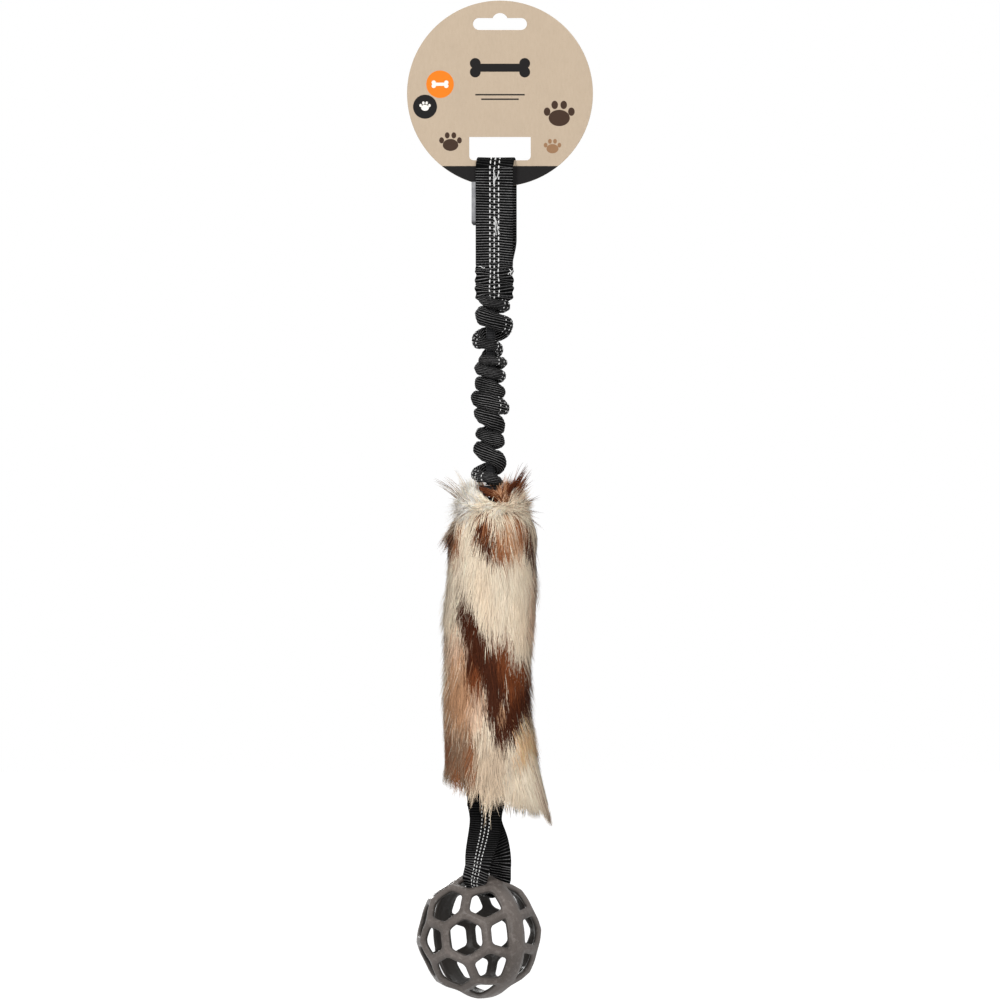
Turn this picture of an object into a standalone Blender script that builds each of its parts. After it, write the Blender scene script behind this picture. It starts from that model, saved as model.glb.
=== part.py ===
"""Faux fur tug toy on its hang card: a webbing handle, a bungee in a scrunched sleeve, a fur sleeve
and a lattice ball in a webbing loop. Metres, +Z up, the front faces -Y. The origin is the top of the
card's hang slot, and every "drop" is a distance below it."""

from math import cos, pi, radians, sin, sqrt, tau

import bmesh
import bpy
from mathutils import Matrix, Vector

# Space left between pieces that touch on the real toy
SEAT_GAP = 0.0003

# Hang card: a kraft disc with a hang slot near its top and a window that the handle loops through
CARD_DIAMETER = 0.124
CARD_THICKNESS = 0.0009
CARD_CENTRE_DROP = 0.0537
SLOT_WIDTH = 0.036
SLOT_HEIGHT = 0.008
SLOT_DROP = 0.0033
PEG_NOTCH_RADIUS = 0.0053
WINDOW_WIDTH = 0.041
WINDOW_HEIGHT = 0.0155
WINDOW_BOTTOM_DROP = 0.0982
WINDOW_CORNER = 0.003

# Webbing, the same for the handle, the inner strap and the ball loop
WEBBING_WIDTH = 0.025
WEBBING_THICKNESS = 0.0015

# Handle: one length of webbing folded over the card, sewn to the bungee at its two ends
HANDLE_X = -0.0038
HANDLE_GAP = 0.0105
HANDLE_TWIST = 0.0025
HANDLE_LOOP_LENGTH = 0.0683
SEAM_DROP = WINDOW_BOTTOM_DROP + HANDLE_LOOP_LENGTH
SEAM_HEIGHT = 0.0045
SEWN_LENGTH = 0.0243
HANDLE_END_DROP = SEAM_DROP + SEWN_LENGTH
THROAT_LENGTH = 0.016

# Side label: a folded woven tag sewn behind the front ply's left edge
LABEL_WIDTH = 0.009
LABEL_HEIGHT = 0.029
LABEL_THICKNESS = 0.0008
LABEL_OVERHANG = 0.0027
LABEL_BELOW_BAR = 0.0145
LABEL_DROP = WINDOW_BOTTOM_DROP + LABEL_BELOW_BAR

# Thread: zigzag seams across the handle's plies, and a whipping round the bungee's lower end
THREAD_DIAMETER = 0.0007
ZIGZAG_LENGTH = 0.0024
ZIGZAG_HEIGHT = 0.0026
SEAM_INSET = 0.002
WHIPPING_TURNS = 4
WHIPPING_PITCH = 0.0012

# Bungee: a round elastic with flat sewn ends, in a sleeve of webbing scrunched up into turns
BUNGEE_X = -0.0063
BUNGEE_LENGTH = 0.1241
BUNGEE_END_DROP = HANDLE_END_DROP + BUNGEE_LENGTH
ELASTIC_DIAMETER = 0.0061
TAB_WIDTH = 0.014
TAB_THICKNESS = 0.0034
TOP_TAB_HEIGHT = 0.02
BOTTOM_TAB_HEIGHT = 0.0066
SLEEVE_TUBE_DIAMETER = 0.0078
SLEEVE_TURNS = 11
POINTS_PER_TURN = 10
SLEEVE_SPREAD = 0.0012
SLEEVE_DRIFT = 0.0006

# Inner strap: two plies of webbing from the bungee's end down through the fur sleeve
HINGE_CLEARANCE = 0.0006
TAIL_HINGE_DROP = BUNGEE_END_DROP + SEAT_GAP + BOTTOM_TAB_HEIGHT + HINGE_CLEARANCE
STRAP_END_GAP = 0.00035
STRAP_WIDENING = 0.03
STRAP_LENGTH = 0.2141
LOOP_HINGE_DROP = TAIL_HINGE_DROP + STRAP_LENGTH
LOOP_X = -0.0095

# Fur sleeve: a tube of long pile fabric, drawn in at the neck and open at the hem
FUR_BELOW_HINGE = 0.004
FUR_NECK_DROP = TAIL_HINGE_DROP + FUR_BELOW_HINGE
FUR_LENGTH = 0.2011
FUR_HEM_DROP = FUR_NECK_DROP + FUR_LENGTH
FUR_HEM_SLANT = 0.013
FUR_WIDTH = 0.063
FUR_DEPTH = 0.048
FUR_SHOULDER = 0.026
FUR_NECK_WIDTH = 0.036
FUR_HEM_FLARE = 0.004
BORE_WIDTH = 0.031
BORE_DEPTH = 0.02
NECK_BORE_WIDTH = 0.0195
NECK_BORE_DEPTH = 0.006

# Lattice ball: a hollow rubber ball of pentagon and hexagon holes, moulded as two halves
BALL_DIAMETER = 0.084
BALL_WALL = 0.005
BALL_BAND = 0.0125
BALL_STRUT = 0.0053
CAST_SPREAD = 1.14
HOLE_CORNER = 0.0015
HOLE_RIM = 0.0011
BAND_COLUMNS = 30
BALL_AXIS_TURN = radians(-140.3)
BALL_AXIS_DIP = radians(3.5)
BALL_ROLL = radians(-13.3)

# Ball loop: webbing from the inner strap's end round the ball's band and back, bunched in the holes
LOOP_PIVOT_X = -0.0084
LOOP_PIVOT_Y = -0.0078
LOOP_LENGTH = 0.0403
LOOP_PIVOT_DROP = LOOP_HINGE_DROP + LOOP_LENGTH
LOOP_PIVOT_OFFSET = 0.0022
LOOP_INNER_RADIUS = 0.0101
LOOP_FREE_RUN = 0.0075
LOOP_SHOULDER_WIDTH = 0.023
LOOP_FRONT_WIDTH = 0.0195
LOOP_BOTTOM_WIDTH = 0.015
LOOP_BACK_WIDTH = 0.011


def clear_scene():
    for obj in list(bpy.data.objects):
        bpy.data.objects.remove(obj, do_unlink=True)


def collection_named(name):
    collection = bpy.data.collections.new(name)
    bpy.context.scene.collection.children.link(collection)
    return collection


def finish(name, colour, roughness):
    """A plain Principled material."""
    material = bpy.data.materials.new(name)
    material.use_nodes = True
    shader = material.node_tree.nodes["Principled BSDF"]
    shader.inputs["Base Color"].default_value = (*colour, 1)
    shader.inputs["Roughness"].default_value = roughness
    shader.inputs["Metallic"].default_value = 0
    return material


def place(name, data, material):
    """Adds an object of this mesh or curve."""
    data.materials.append(material)
    obj = bpy.data.objects.new(name, data)
    TOY.objects.link(obj)
    return obj


def axis_empty(name, location, parent=None):
    """An empty on a joint's axis, which carries the pieces that move about it."""
    empty = bpy.data.objects.new(name, None)
    empty.empty_display_size = 0.01
    TOY.objects.link(empty)
    empty.parent = parent
    at_parent = parent.matrix_world.translation if parent else Vector()
    empty.location = Vector(location) - at_parent
    bpy.context.view_layer.update()
    return empty


def carried_by(empty, obj):
    """Hangs an object, built in world coordinates, on an empty without moving it."""
    obj.parent = empty
    obj.matrix_parent_inverse = empty.matrix_world.inverted()
    return obj


def mesh_of(bm, name):
    bmesh.ops.recalc_face_normals(bm, faces=bm.faces[:])
    mesh = bpy.data.meshes.new(name)
    bm.to_mesh(mesh)
    bm.free()
    mesh.shade_smooth()
    mesh.set_sharp_from_angle(angle=radians(40))
    return mesh


def smoothstep(value, low, high):
    t = min(max((value - low) / (high - low), 0), 1)
    return t * t * (3 - 2 * t)


def arc(x, y, radius, start, end, steps):
    """Points of an arc, its ends included, between two angles in degrees."""
    angles = [radians(start + (end - start) * k / steps) for k in range(steps + 1)]
    return [(x + radius * cos(a), y + radius * sin(a)) for a in angles]


def flat_outline(name, outlines, thickness):
    """A 2D curve, filled between its outlines."""
    curve = bpy.data.curves.new(name, "CURVE")
    curve.dimensions = "2D"
    curve.fill_mode = "BOTH"
    curve.extrude = thickness / 2
    for outline in outlines:
        spline = curve.splines.new("POLY")
        spline.points.add(len(outline) - 1)
        for point, (x, y) in zip(spline.points, outline):
            point.co = (x, y, 0, 1)
        spline.use_cyclic_u = True
    return curve


def ribbon(name, stations, thickness):
    """Webbing along stations of (centre, direction across, width): a strip with a wall."""
    bm = bmesh.new()
    rows = [
        [bm.verts.new(centre + across * width * side) for side in (-0.5, 0, 0.5)]
        for centre, across, width in stations
    ]
    for row, following in zip(rows, rows[1:]):
        for k in range(2):
            bm.faces.new((row[k], row[k + 1], following[k + 1], following[k]))
    strip = place(name, mesh_of(bm, name), WEBBING)
    wall = strip.modifiers.new("Wall", "SOLIDIFY")
    wall.thickness = thickness
    wall.offset = 0
    wall.use_even_offset = True
    return strip


def rounded_box(name, size, radius):
    bm = bmesh.new()
    bmesh.ops.create_cube(bm, size=1)
    bmesh.ops.scale(bm, vec=size, verts=bm.verts[:])
    bmesh.ops.bevel(
        bm, geom=bm.edges[:], offset=radius, segments=2, profile=0.5, affect="EDGES"
    )
    return mesh_of(bm, name)


def tube(name, points, diameter, bevel_resolution):
    curve = bpy.data.curves.new(name, "CURVE")
    curve.dimensions = "3D"
    curve.bevel_depth = diameter / 2
    curve.bevel_resolution = bevel_resolution
    curve.use_fill_caps = True
    spline = curve.splines.new("POLY")
    spline.points.add(len(points) - 1)
    for point, where in zip(spline.points, points):
        point.co = (*where, 1)
    return curve


def hang_card():
    """Board disc, with the hang slot and the window cut through it."""
    radius = CARD_DIAMETER / 2
    disc = arc(0, -CARD_CENTRE_DROP, radius, 0, 355, 71)

    end_radius = SLOT_HEIGHT / 2
    end_x = SLOT_WIDTH / 2 - end_radius
    end_z = -SLOT_DROP - end_radius
    notch_rise = PEG_NOTCH_RADIUS - SLOT_DROP
    notch_half = sqrt(PEG_NOTCH_RADIUS**2 - notch_rise**2)
    notch_start = Vector((notch_half, notch_rise)).angle_signed(Vector((1, 0))) * 180 / pi
    slot = arc(end_x, end_z, end_radius, -90, 90, 10)
    slot += arc(0, -PEG_NOTCH_RADIUS, PEG_NOTCH_RADIUS, notch_start, 180 - notch_start, 12)
    slot += arc(-end_x, end_z, end_radius, 90, 270, 10)

    half = WINDOW_WIDTH / 2
    bottom = -WINDOW_BOTTOM_DROP
    top = bottom + WINDOW_HEIGHT
    window = arc(half - WINDOW_CORNER, bottom + WINDOW_CORNER, WINDOW_CORNER, -90, 0, 4)
    window += [(half, top), (-half, top)]
    window += arc(-half + WINDOW_CORNER, bottom + WINDOW_CORNER, WINDOW_CORNER, 180, 270, 4)

    card = place(
        "header_card", flat_outline("header_card", [disc, slot, window], CARD_THICKNESS), KRAFT
    )
    card.rotation_euler = (pi / 2, 0, 0)


PLY_OFFSET = TAB_THICKNESS / 2 + SEAT_GAP + WEBBING_THICKNESS / 2
FOLD_RADIUS = HANDLE_GAP / 2 + WEBBING_THICKNESS / 2
FOLD_STEPS = 10
FOLD_SAG = FOLD_RADIUS * (1 - cos(pi / FOLD_STEPS / 2))
FOLD_Z = -WINDOW_BOTTOM_DROP + SEAT_GAP + FOLD_SAG - HANDLE_GAP / 2


def handle_ply_offset(z):
    """How far a ply's middle lies from the handle's mid-plane: closed at the seam, open above it."""
    opened = smoothstep(z, -SEAM_DROP + SEAM_HEIGHT, -SEAM_DROP + SEAM_HEIGHT + THROAT_LENGTH)
    return PLY_OFFSET + (FOLD_RADIUS - PLY_OFFSET) * opened


def handle_loop():
    """Up the front, over the card's bar and down the back, the back ply a little to the right."""
    rising = [-HANDLE_END_DROP + (FOLD_Z + HANDLE_END_DROP) * k / 16 for k in range(16)]
    profile = [(-handle_ply_offset(z), z, 0) for z in rising]
    profile += [
        (-FOLD_RADIUS * cos(angle), FOLD_Z + FOLD_RADIUS * sin(angle), angle / pi)
        for angle in (pi * k / FOLD_STEPS for k in range(FOLD_STEPS + 1))
    ]
    profile += [(handle_ply_offset(z), z, 1) for z in reversed(rising)]
    stations = []
    for y, z, turned in profile:
        twist = HANDLE_TWIST * turned * smoothstep(z, -SEAM_DROP, -SEAM_DROP + THROAT_LENGTH)
        stations.append((Vector((HANDLE_X + twist, y, z)), Vector((1, 0, 0)), WEBBING_WIDTH))
    return ribbon("handle_loop", stations, WEBBING_THICKNESS)


def side_label():
    """Lies against the inside of the front ply and shows past its left edge."""
    label = place(
        "side_label",
        rounded_box(
            "side_label", (LABEL_WIDTH, LABEL_THICKNESS, LABEL_HEIGHT), LABEL_THICKNESS / 3
        ),
        LABEL,
    )
    ply_inner = -FOLD_RADIUS + WEBBING_THICKNESS / 2
    label.location = (
        HANDLE_X - WEBBING_WIDTH / 2 - LABEL_OVERHANG + LABEL_WIDTH / 2,
        ply_inner + SEAT_GAP + LABEL_THICKNESS / 2,
        -LABEL_DROP - LABEL_HEIGHT / 2,
    )
    return label


def handle_seam(name, side):
    """Thread in zigzag rows across one ply, carried down from row to row: two rows at the seam and
    one near the webbing's end."""
    half = WEBBING_WIDTH / 2 - SEAM_INSET
    count = round(2 * half / ZIGZAG_LENGTH) * 2
    y = side * (PLY_OFFSET + (WEBBING_THICKNESS + THREAD_DIAMETER) / 2 + SEAT_GAP)
    drops = (SEAM_DROP, SEAM_DROP + SEAM_HEIGHT, HANDLE_END_DROP - ZIGZAG_HEIGHT)
    points = []
    for row, drop in enumerate(drops):
        way = 1 if row % 2 == 0 else -1
        for k in range(count + 1):
            x = HANDLE_X + way * (2 * half * k / count - half)
            points.append((x, y, -drop - ZIGZAG_HEIGHT / 2 * (k % 2)))
    return place(name, tube(name, points, THREAD_DIAMETER, 1), THREAD)


def elastic_tab(name, x, top_drop, height):
    """A flattened, sewn end of the elastic."""
    tab = place(
        name, rounded_box(name, (TAB_WIDTH, TAB_THICKNESS, height), TAB_THICKNESS / 5), ELASTIC
    )
    tab.location = (x, 0, -top_drop - height / 2)
    return tab


def elastic_core():
    """The round elastic between its sewn ends."""
    top = Vector((BUNGEE_X, 0, -HANDLE_END_DROP - SEAT_GAP))
    bottom = Vector((BUNGEE_X, 0, -BUNGEE_END_DROP))
    return place("elastic_core", tube("elastic_core", [top, bottom], ELASTIC_DIAMETER, 4), ELASTIC)


def sleeve_points():
    """The middle line of the scrunched sleeve: uneven turns round the elastic, with straight ends."""
    top = -HANDLE_END_DROP - SEAT_GAP
    wound = BUNGEE_END_DROP - HANDLE_END_DROP - SEAT_GAP - 2 * SLEEVE_TUBE_DIAMETER
    clear = (ELASTIC_DIAMETER + SLEEVE_TUBE_DIAMETER) / 2 + SEAT_GAP
    radius = clear / cos(pi / POINTS_PER_TURN)
    count = SLEEVE_TURNS * POINTS_PER_TURN
    points = [Vector((BUNGEE_X + radius, 0, top))]
    for k in range(count + 1):
        share = k / count
        angle = tau * SLEEVE_TURNS * share
        ease = sin(pi * share)
        wave = (2 + sin(0.54 * angle) + sin(0.43 * angle)) / 4
        uneven = radius + SLEEVE_SPREAD * ease * wave
        drift = SLEEVE_DRIFT * ease * sin(angle / 4)
        points.append(
            Vector(
                (
                    BUNGEE_X + uneven * cos(angle),
                    uneven * sin(angle),
                    top - SLEEVE_TUBE_DIAMETER - wound * share + drift,
                )
            )
        )
    points.append(Vector((BUNGEE_X + radius, 0, -BUNGEE_END_DROP)))
    return points


def least_self_gap(points, diameter, turn):
    """The least space between the tube's surfaces a turn apart, measured on its points."""
    least = min(
        (points[i] - points[j]).length
        for i in range(len(points))
        for j in range(i + turn // 2, len(points))
    )
    return least - diameter


def bungee_sleeve():
    points = sleeve_points()
    gap = least_self_gap(points, SLEEVE_TUBE_DIAMETER, POINTS_PER_TURN)
    print(f"bungee_sleeve least self-gap {gap * 1000:.2f} mm")
    return place("bungee_sleeve", tube("bungee_sleeve", points, SLEEVE_TUBE_DIAMETER, 1), WEBBING)


def neck_whipping():
    """Thread wound round the elastic's lower tab, where the sleeve is bound to it."""
    clear = SEAT_GAP + THREAD_DIAMETER / 2
    half_width = TAB_WIDTH / 2 + clear
    half_depth = TAB_THICKNESS / 2 + clear
    wound = WHIPPING_TURNS * WHIPPING_PITCH
    top = -BUNGEE_END_DROP - SEAT_GAP - (BOTTOM_TAB_HEIGHT - wound) / 2
    corners = ((1, -1), (1, 1), (-1, 1), (-1, -1))
    points = []
    for k in range(WHIPPING_TURNS * len(corners) + 1):
        across, back = corners[k % len(corners)]
        z = top - WHIPPING_PITCH * k / len(corners)
        points.append(Vector((BUNGEE_X + across * half_width, back * half_depth, z)))
    gap = WHIPPING_PITCH - THREAD_DIAMETER
    print(f"neck_whipping least self-gap {gap * 1000:.2f} mm")
    return place("neck_whipping", tube("neck_whipping", points, THREAD_DIAMETER, 1), THREAD)


def strap_x(z):
    """The strap leans left on its way down, from the bungee to the ball loop."""
    return BUNGEE_X + (LOOP_X - BUNGEE_X) * smoothstep(-z, TAIL_HINGE_DROP, LOOP_HINGE_DROP)


def inner_strap():
    """Two plies sewn face to face, drawn in to the elastic's width at the top."""
    steps = 18
    top = -TAIL_HINGE_DROP - STRAP_END_GAP
    bottom = -LOOP_HINGE_DROP + STRAP_END_GAP
    stations = []
    for k in range(steps + 1):
        z = top + (bottom - top) * k / steps
        widened = smoothstep(top - z, 0, STRAP_WIDENING)
        width = TAB_WIDTH + (WEBBING_WIDTH - TAB_WIDTH) * widened
        stations.append((Vector((strap_x(z), 0, z)), Vector((1, 0, 0)), width))
    return ribbon("inner_strap", stations, 2 * WEBBING_THICKNESS)


def ring(centre_x, half_width, half_depth, z, count, slant=0.0):
    """An oval of points round the toy, lower on the right by the slant."""
    points = []
    for k in range(count):
        angle = tau * k / count
        x = half_width * cos(angle)
        points.append(Vector((centre_x + x, half_depth * sin(angle), z - slant * cos(angle))))
    return points


def fur_sleeve():
    """The pile's outer shape as a soft closed tube: a loft of ovals, with the strap's bore inside."""
    sides = 20
    steps = 14
    outer = []
    inner = []
    for k in range(steps + 1):
        share = k / steps
        drop = FUR_NECK_DROP + (FUR_HEM_DROP - FUR_NECK_DROP) * share
        down = drop - FUR_NECK_DROP
        swell = sqrt(1 - (1 - min(down / FUR_SHOULDER, 1)) ** 2)
        flare = FUR_HEM_FLARE * smoothstep(share, 0.6, 1)
        neck_share = FUR_NECK_WIDTH / FUR_WIDTH
        fullness = neck_share + (1 - neck_share) * swell
        half_width = FUR_WIDTH / 2 * fullness + flare
        half_depth = FUR_DEPTH / 2 * fullness
        slant = FUR_HEM_SLANT * smoothstep(share, 0.75, 1)
        x = strap_x(-drop) + FUR_HEM_FLARE * swell
        outer.append(ring(x, half_width, half_depth, -drop, sides, slant))
        opened = smoothstep(down, 0, FUR_SHOULDER)
        bore_width = NECK_BORE_WIDTH + (BORE_WIDTH - NECK_BORE_WIDTH) * opened
        bore_depth = NECK_BORE_DEPTH + (BORE_DEPTH - NECK_BORE_DEPTH) * opened
        inner.append(
            ring(strap_x(-drop), bore_width / 2, bore_depth / 2, -drop, sides, slant / 2)
        )
    loops = outer + inner[::-1]
    bm = bmesh.new()
    rings = [[bm.verts.new(point) for point in loop] for loop in loops]
    for row, following in zip(rings, rings[1:] + rings[:1]):
        for k in range(sides):
            after = (k + 1) % sides
            bm.faces.new((row[k], row[after], following[after], following[k]))
    return place("fur_sleeve", mesh_of(bm, "fur_sleeve"), FUR)


def ball_axes():
    """Directions in the world: towards the loop, along the band at the loop, and the band's axis."""
    dip = cos(BALL_AXIS_DIP)
    axis = Vector((dip * cos(BALL_AXIS_TURN), dip * sin(BALL_AXIS_TURN), -sin(BALL_AXIS_DIP)))
    upright = (Vector((0, 0, 1)) - axis * axis.z).normalized()
    towards_loop = Matrix.Rotation(BALL_ROLL, 3, axis) @ upright
    return towards_loop, axis.cross(towards_loop), axis


def ball_matrix():
    """Ball space: X towards the loop, Z along the band's axis, the origin at the ball's centre, which
    lies where the middle of the band's wall is at the loop's pivot."""
    towards_loop, along_band, axis = ball_axes()
    middle = (BALL_DIAMETER - BALL_WALL) / 2
    centre = LOOP_PIVOT - towards_loop * middle + axis * LOOP_PIVOT_OFFSET
    turned = Matrix((towards_loop, along_band, axis)).transposed().to_4x4()
    return Matrix.Translation(centre) @ turned


def cast_to_sphere(bm, radius, kept_heights):
    """Moves each corner out to the sphere, along its own height where that has to stay level."""
    for vert in bm.verts:
        height = vert.co.z
        if min(abs(abs(height) - kept) for kept in kept_heights) < radius / 10000:
            flat = Vector((vert.co.x, vert.co.y)).normalized() * sqrt(radius**2 - height**2)
            vert.co = (flat.x, flat.y, height)
        else:
            vert.co = vert.co.normalized() * radius


def add_inner_skin(bm, scale, joint):
    """Closes an open skin into a wall: a smaller copy inside, walls along the edges of the holes and
    a flat rim at the joint. Returns the edges of the holes."""

    def at_joint(vert):
        return abs(abs(vert.co.z) - joint) < joint / 10

    outer = bm.faces[:]
    borders = [edge for edge in bm.edges if edge.is_boundary]
    inside = {}
    for vert in list(bm.verts):
        inner = vert.co * scale
        inside[vert] = bm.verts.new((inner.x, inner.y, vert.co.z if at_joint(vert) else inner.z))
    for face in outer:
        bm.faces.new([inside[vert] for vert in reversed(face.verts)])
    rims = []
    for edge in borders:
        near, far = edge.verts
        bm.faces.new((near, far, inside[far], inside[near]))
        if not (at_joint(near) and at_joint(far)):
            rims += [edge, bm.edges.get((inside[near], inside[far]))]
    return rims


def ball_half(name, side):
    """Half of a football lattice: an icosahedron with its corners cut off, its faces opened down to
    struts, cast to the ball's radius, which spreads them, and given a wall. The band at the joint
    stays whole, and the pentagons next to it reach down to its line."""
    radius = BALL_DIAMETER / 2
    joint = SEAT_GAP / 2
    strut = BALL_STRUT / CAST_SPREAD
    band_line = BALL_BAND / CAST_SPREAD / 2 - strut / 2
    bm = bmesh.new()
    bmesh.ops.create_icosphere(bm, subdivisions=1, radius=radius)
    bmesh.ops.rotate(bm, verts=bm.verts[:], cent=(0, 0, 0), matrix=Matrix.Rotation(pi / 5, 3, "Z"))
    bmesh.ops.bevel(
        bm,
        geom=bm.verts[:],
        offset=100 / 3,
        offset_type="PERCENT",
        segments=1,
        profile=0.5,
        affect="VERTICES",
    )
    bmesh.ops.remove_doubles(bm, verts=bm.verts[:], dist=radius / 1000)
    for height, trims in ((joint, True), (band_line, False)):
        bmesh.ops.bisect_plane(
            bm,
            geom=bm.verts[:] + bm.edges[:] + bm.faces[:],
            plane_co=(0, 0, side * height),
            plane_no=(0, 0, -side),
            clear_outer=trims,
        )
    for edge in bm.edges:
        low, high = sorted(edge.verts, key=lambda vert: side * vert.co.z)
        if side * low.co.z > band_line - joint and edge.calc_length() < strut:
            high.co = low.co
    bmesh.ops.remove_doubles(bm, verts=bm.verts[:], dist=radius / 1000)
    opened = [face for face in bm.faces if side * face.calc_center_median().z > band_line]
    for edge in {edge for face in opened for edge in face.edges}:
        bmesh.utils.edge_split(edge, edge.verts[0], 0.5)
    bmesh.ops.inset_individual(bm, faces=opened, thickness=strut / 2, use_even_offset=True)
    corners = {
        loop.vert for face in opened for loop in face.loops if loop.calc_angle() < radians(170)
    }
    bmesh.ops.bevel(
        bm,
        geom=list(corners),
        offset=HOLE_CORNER,
        offset_type="OFFSET",
        segments=1,
        profile=0.5,
        affect="VERTICES",
    )
    opened = [face for face in bm.faces if len(face.verts) > 9]
    bmesh.ops.delete(bm, geom=opened, context="FACES")
    for k in range(BAND_COLUMNS // 2):
        angle = tau * k / BAND_COLUMNS
        low = [face for face in bm.faces if side * face.calc_center_median().z < band_line]
        edges = list({edge for face in low for edge in face.edges})
        verts = list({vert for face in low for vert in face.verts})
        bmesh.ops.bisect_plane(
            bm,
            geom=verts + edges + low,
            plane_co=(0, 0, 0),
            plane_no=(-sin(angle), cos(angle), 0),
            dist=radius / 2000,
        )
    cast_to_sphere(bm, radius, (joint, band_line))
    rims = add_inner_skin(bm, 1 - BALL_WALL / radius, joint)
    bmesh.ops.recalc_face_normals(bm, faces=bm.faces[:])
    bmesh.ops.bevel(
        bm, geom=rims, offset=HOLE_RIM, offset_type="OFFSET", segments=1, profile=0.5, affect="EDGES"
    )
    half = place(name, mesh_of(bm, name), RUBBER)
    half.matrix_world = ball_matrix()
    return half


def curve_between(start, start_way, end, end_way, count):
    """Points of a smooth cubic from one place and direction to another, both ends included."""
    reach = (end - start).length
    points = []
    for k in range(count + 1):
        t = k / count
        points.append(
            start * (2 * t**3 - 3 * t**2 + 1)
            + start_way * reach * (t**3 - 2 * t**2 + t)
            + end * (3 * t**2 - 2 * t**3)
            + end_way * reach * (t**3 - t**2)
        )
    return points


def ball_loop():
    """Down at the front left, round the ball's band in a half circle, and up at the back right. On the
    way the webbing turns from facing forwards to lying along the band."""
    towards_loop, along_band, axis = ball_axes()
    bend = LOOP_INNER_RADIUS + WEBBING_THICKNESS / 2
    down = Vector((0, 0, -1))
    level = Vector((1, 0, 0))
    steps = 8

    def half(sign, hole_width):
        top = Vector(
            (LOOP_X, -sign * (WEBBING_THICKNESS + SEAT_GAP) / 2, -LOOP_HINGE_DROP - STRAP_END_GAP)
        )
        ball_end = LOOP_PIVOT + axis * sign * bend + towards_loop * LOOP_FREE_RUN
        path = curve_between(top, down, ball_end, -towards_loop, steps)
        stations = []
        for k, point in enumerate(path):
            turned = smoothstep(k / steps, 0, 1)
            across = level.lerp(-along_band, turned).normalized()
            shoulder = min(LOOP_SHOULDER_WIDTH, hole_width + 2 * LOOP_FREE_RUN * 0.3)
            width = WEBBING_WIDTH + (shoulder - WEBBING_WIDTH) * turned
            stations.append((point, across, width))
        return stations

    stations = half(1, LOOP_FRONT_WIDTH)
    stations.append((LOOP_PIVOT + axis * bend + towards_loop * LOOP_FREE_RUN / 3,
                     -along_band, LOOP_FRONT_WIDTH))
    arc_steps = 10
    for k in range(arc_steps + 1):
        angle = pi * k / arc_steps
        point = LOOP_PIVOT + axis * bend * cos(angle) - towards_loop * bend * sin(angle)
        narrowed = smoothstep(k / arc_steps, 0, 0.5)
        gathered = smoothstep(k / arc_steps, 0.5, 0.8)
        width = LOOP_FRONT_WIDTH + (LOOP_BOTTOM_WIDTH - LOOP_FRONT_WIDTH) * narrowed
        width += (LOOP_BACK_WIDTH - LOOP_BOTTOM_WIDTH) * gathered
        stations.append((point, -along_band, width))
    stations.append((LOOP_PIVOT - axis * bend + towards_loop * LOOP_FREE_RUN / 3,
                     -along_band, LOOP_BACK_WIDTH))
    stations += reversed(half(-1, LOOP_BACK_WIDTH))
    return ribbon("ball_loop", stations, WEBBING_THICKNESS)


def build():
    hang_card()
    handle = axis_empty("handle_axis", (HANDLE_X, 0, -WINDOW_BOTTOM_DROP))
    for piece in (handle_loop(), side_label()):
        carried_by(handle, piece)
    carried_by(handle, handle_seam("front_seam_thread", -1))
    carried_by(handle, handle_seam("back_seam_thread", 1))
    top_tab_drop = HANDLE_END_DROP - TOP_TAB_HEIGHT
    carried_by(handle, elastic_tab("elastic_top_tab", HANDLE_X, top_tab_drop, TOP_TAB_HEIGHT))
    carried_by(handle, elastic_core())
    carried_by(handle, bungee_sleeve())

    bungee_end = axis_empty("bungee_end_axis", (BUNGEE_X, 0, -BUNGEE_END_DROP), handle)
    tab_drop = BUNGEE_END_DROP + SEAT_GAP
    carried_by(
        bungee_end, elastic_tab("elastic_bottom_tab", BUNGEE_X, tab_drop, BOTTOM_TAB_HEIGHT)
    )
    carried_by(bungee_end, neck_whipping())

    tail = axis_empty("tail_axis", (BUNGEE_X, 0, -TAIL_HINGE_DROP), bungee_end)
    for piece in (inner_strap(), fur_sleeve()):
        carried_by(tail, piece)

    loop = axis_empty("ball_loop_axis", (LOOP_X, 0, -LOOP_HINGE_DROP), tail)
    carried_by(loop, ball_loop())
    ball = axis_empty("ball_axis", LOOP_PIVOT, loop)
    carried_by(ball, ball_half("ball_half_front", 1))
    carried_by(ball, ball_half("ball_half_back", -1))


LOOP_PIVOT = Vector((LOOP_PIVOT_X, LOOP_PIVOT_Y, -LOOP_PIVOT_DROP))

clear_scene()
TOY = collection_named("fur_tug_toy")
KRAFT = finish("kraft_board", (0.62, 0.46, 0.31), 0.8)
WEBBING = finish("black_webbing", (0.02, 0.02, 0.022), 0.75)
LABEL = finish("woven_label", (0.23, 0.23, 0.24), 0.8)
THREAD = finish("black_thread", (0.03, 0.03, 0.03), 0.6)
ELASTIC = finish("black_elastic", (0.015, 0.015, 0.017), 0.7)
FUR = finish("faux_fur", (0.66, 0.5, 0.36), 0.9)
RUBBER = finish("grey_rubber", (0.2, 0.176, 0.165), 0.55)
build()
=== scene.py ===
from math import cos, exp, pi, radians, sin, sqrt, tau

import bmesh
import bpy
import numpy as np
from mathutils import Matrix, Vector, noise
from mathutils.kdtree import KDTree


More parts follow.
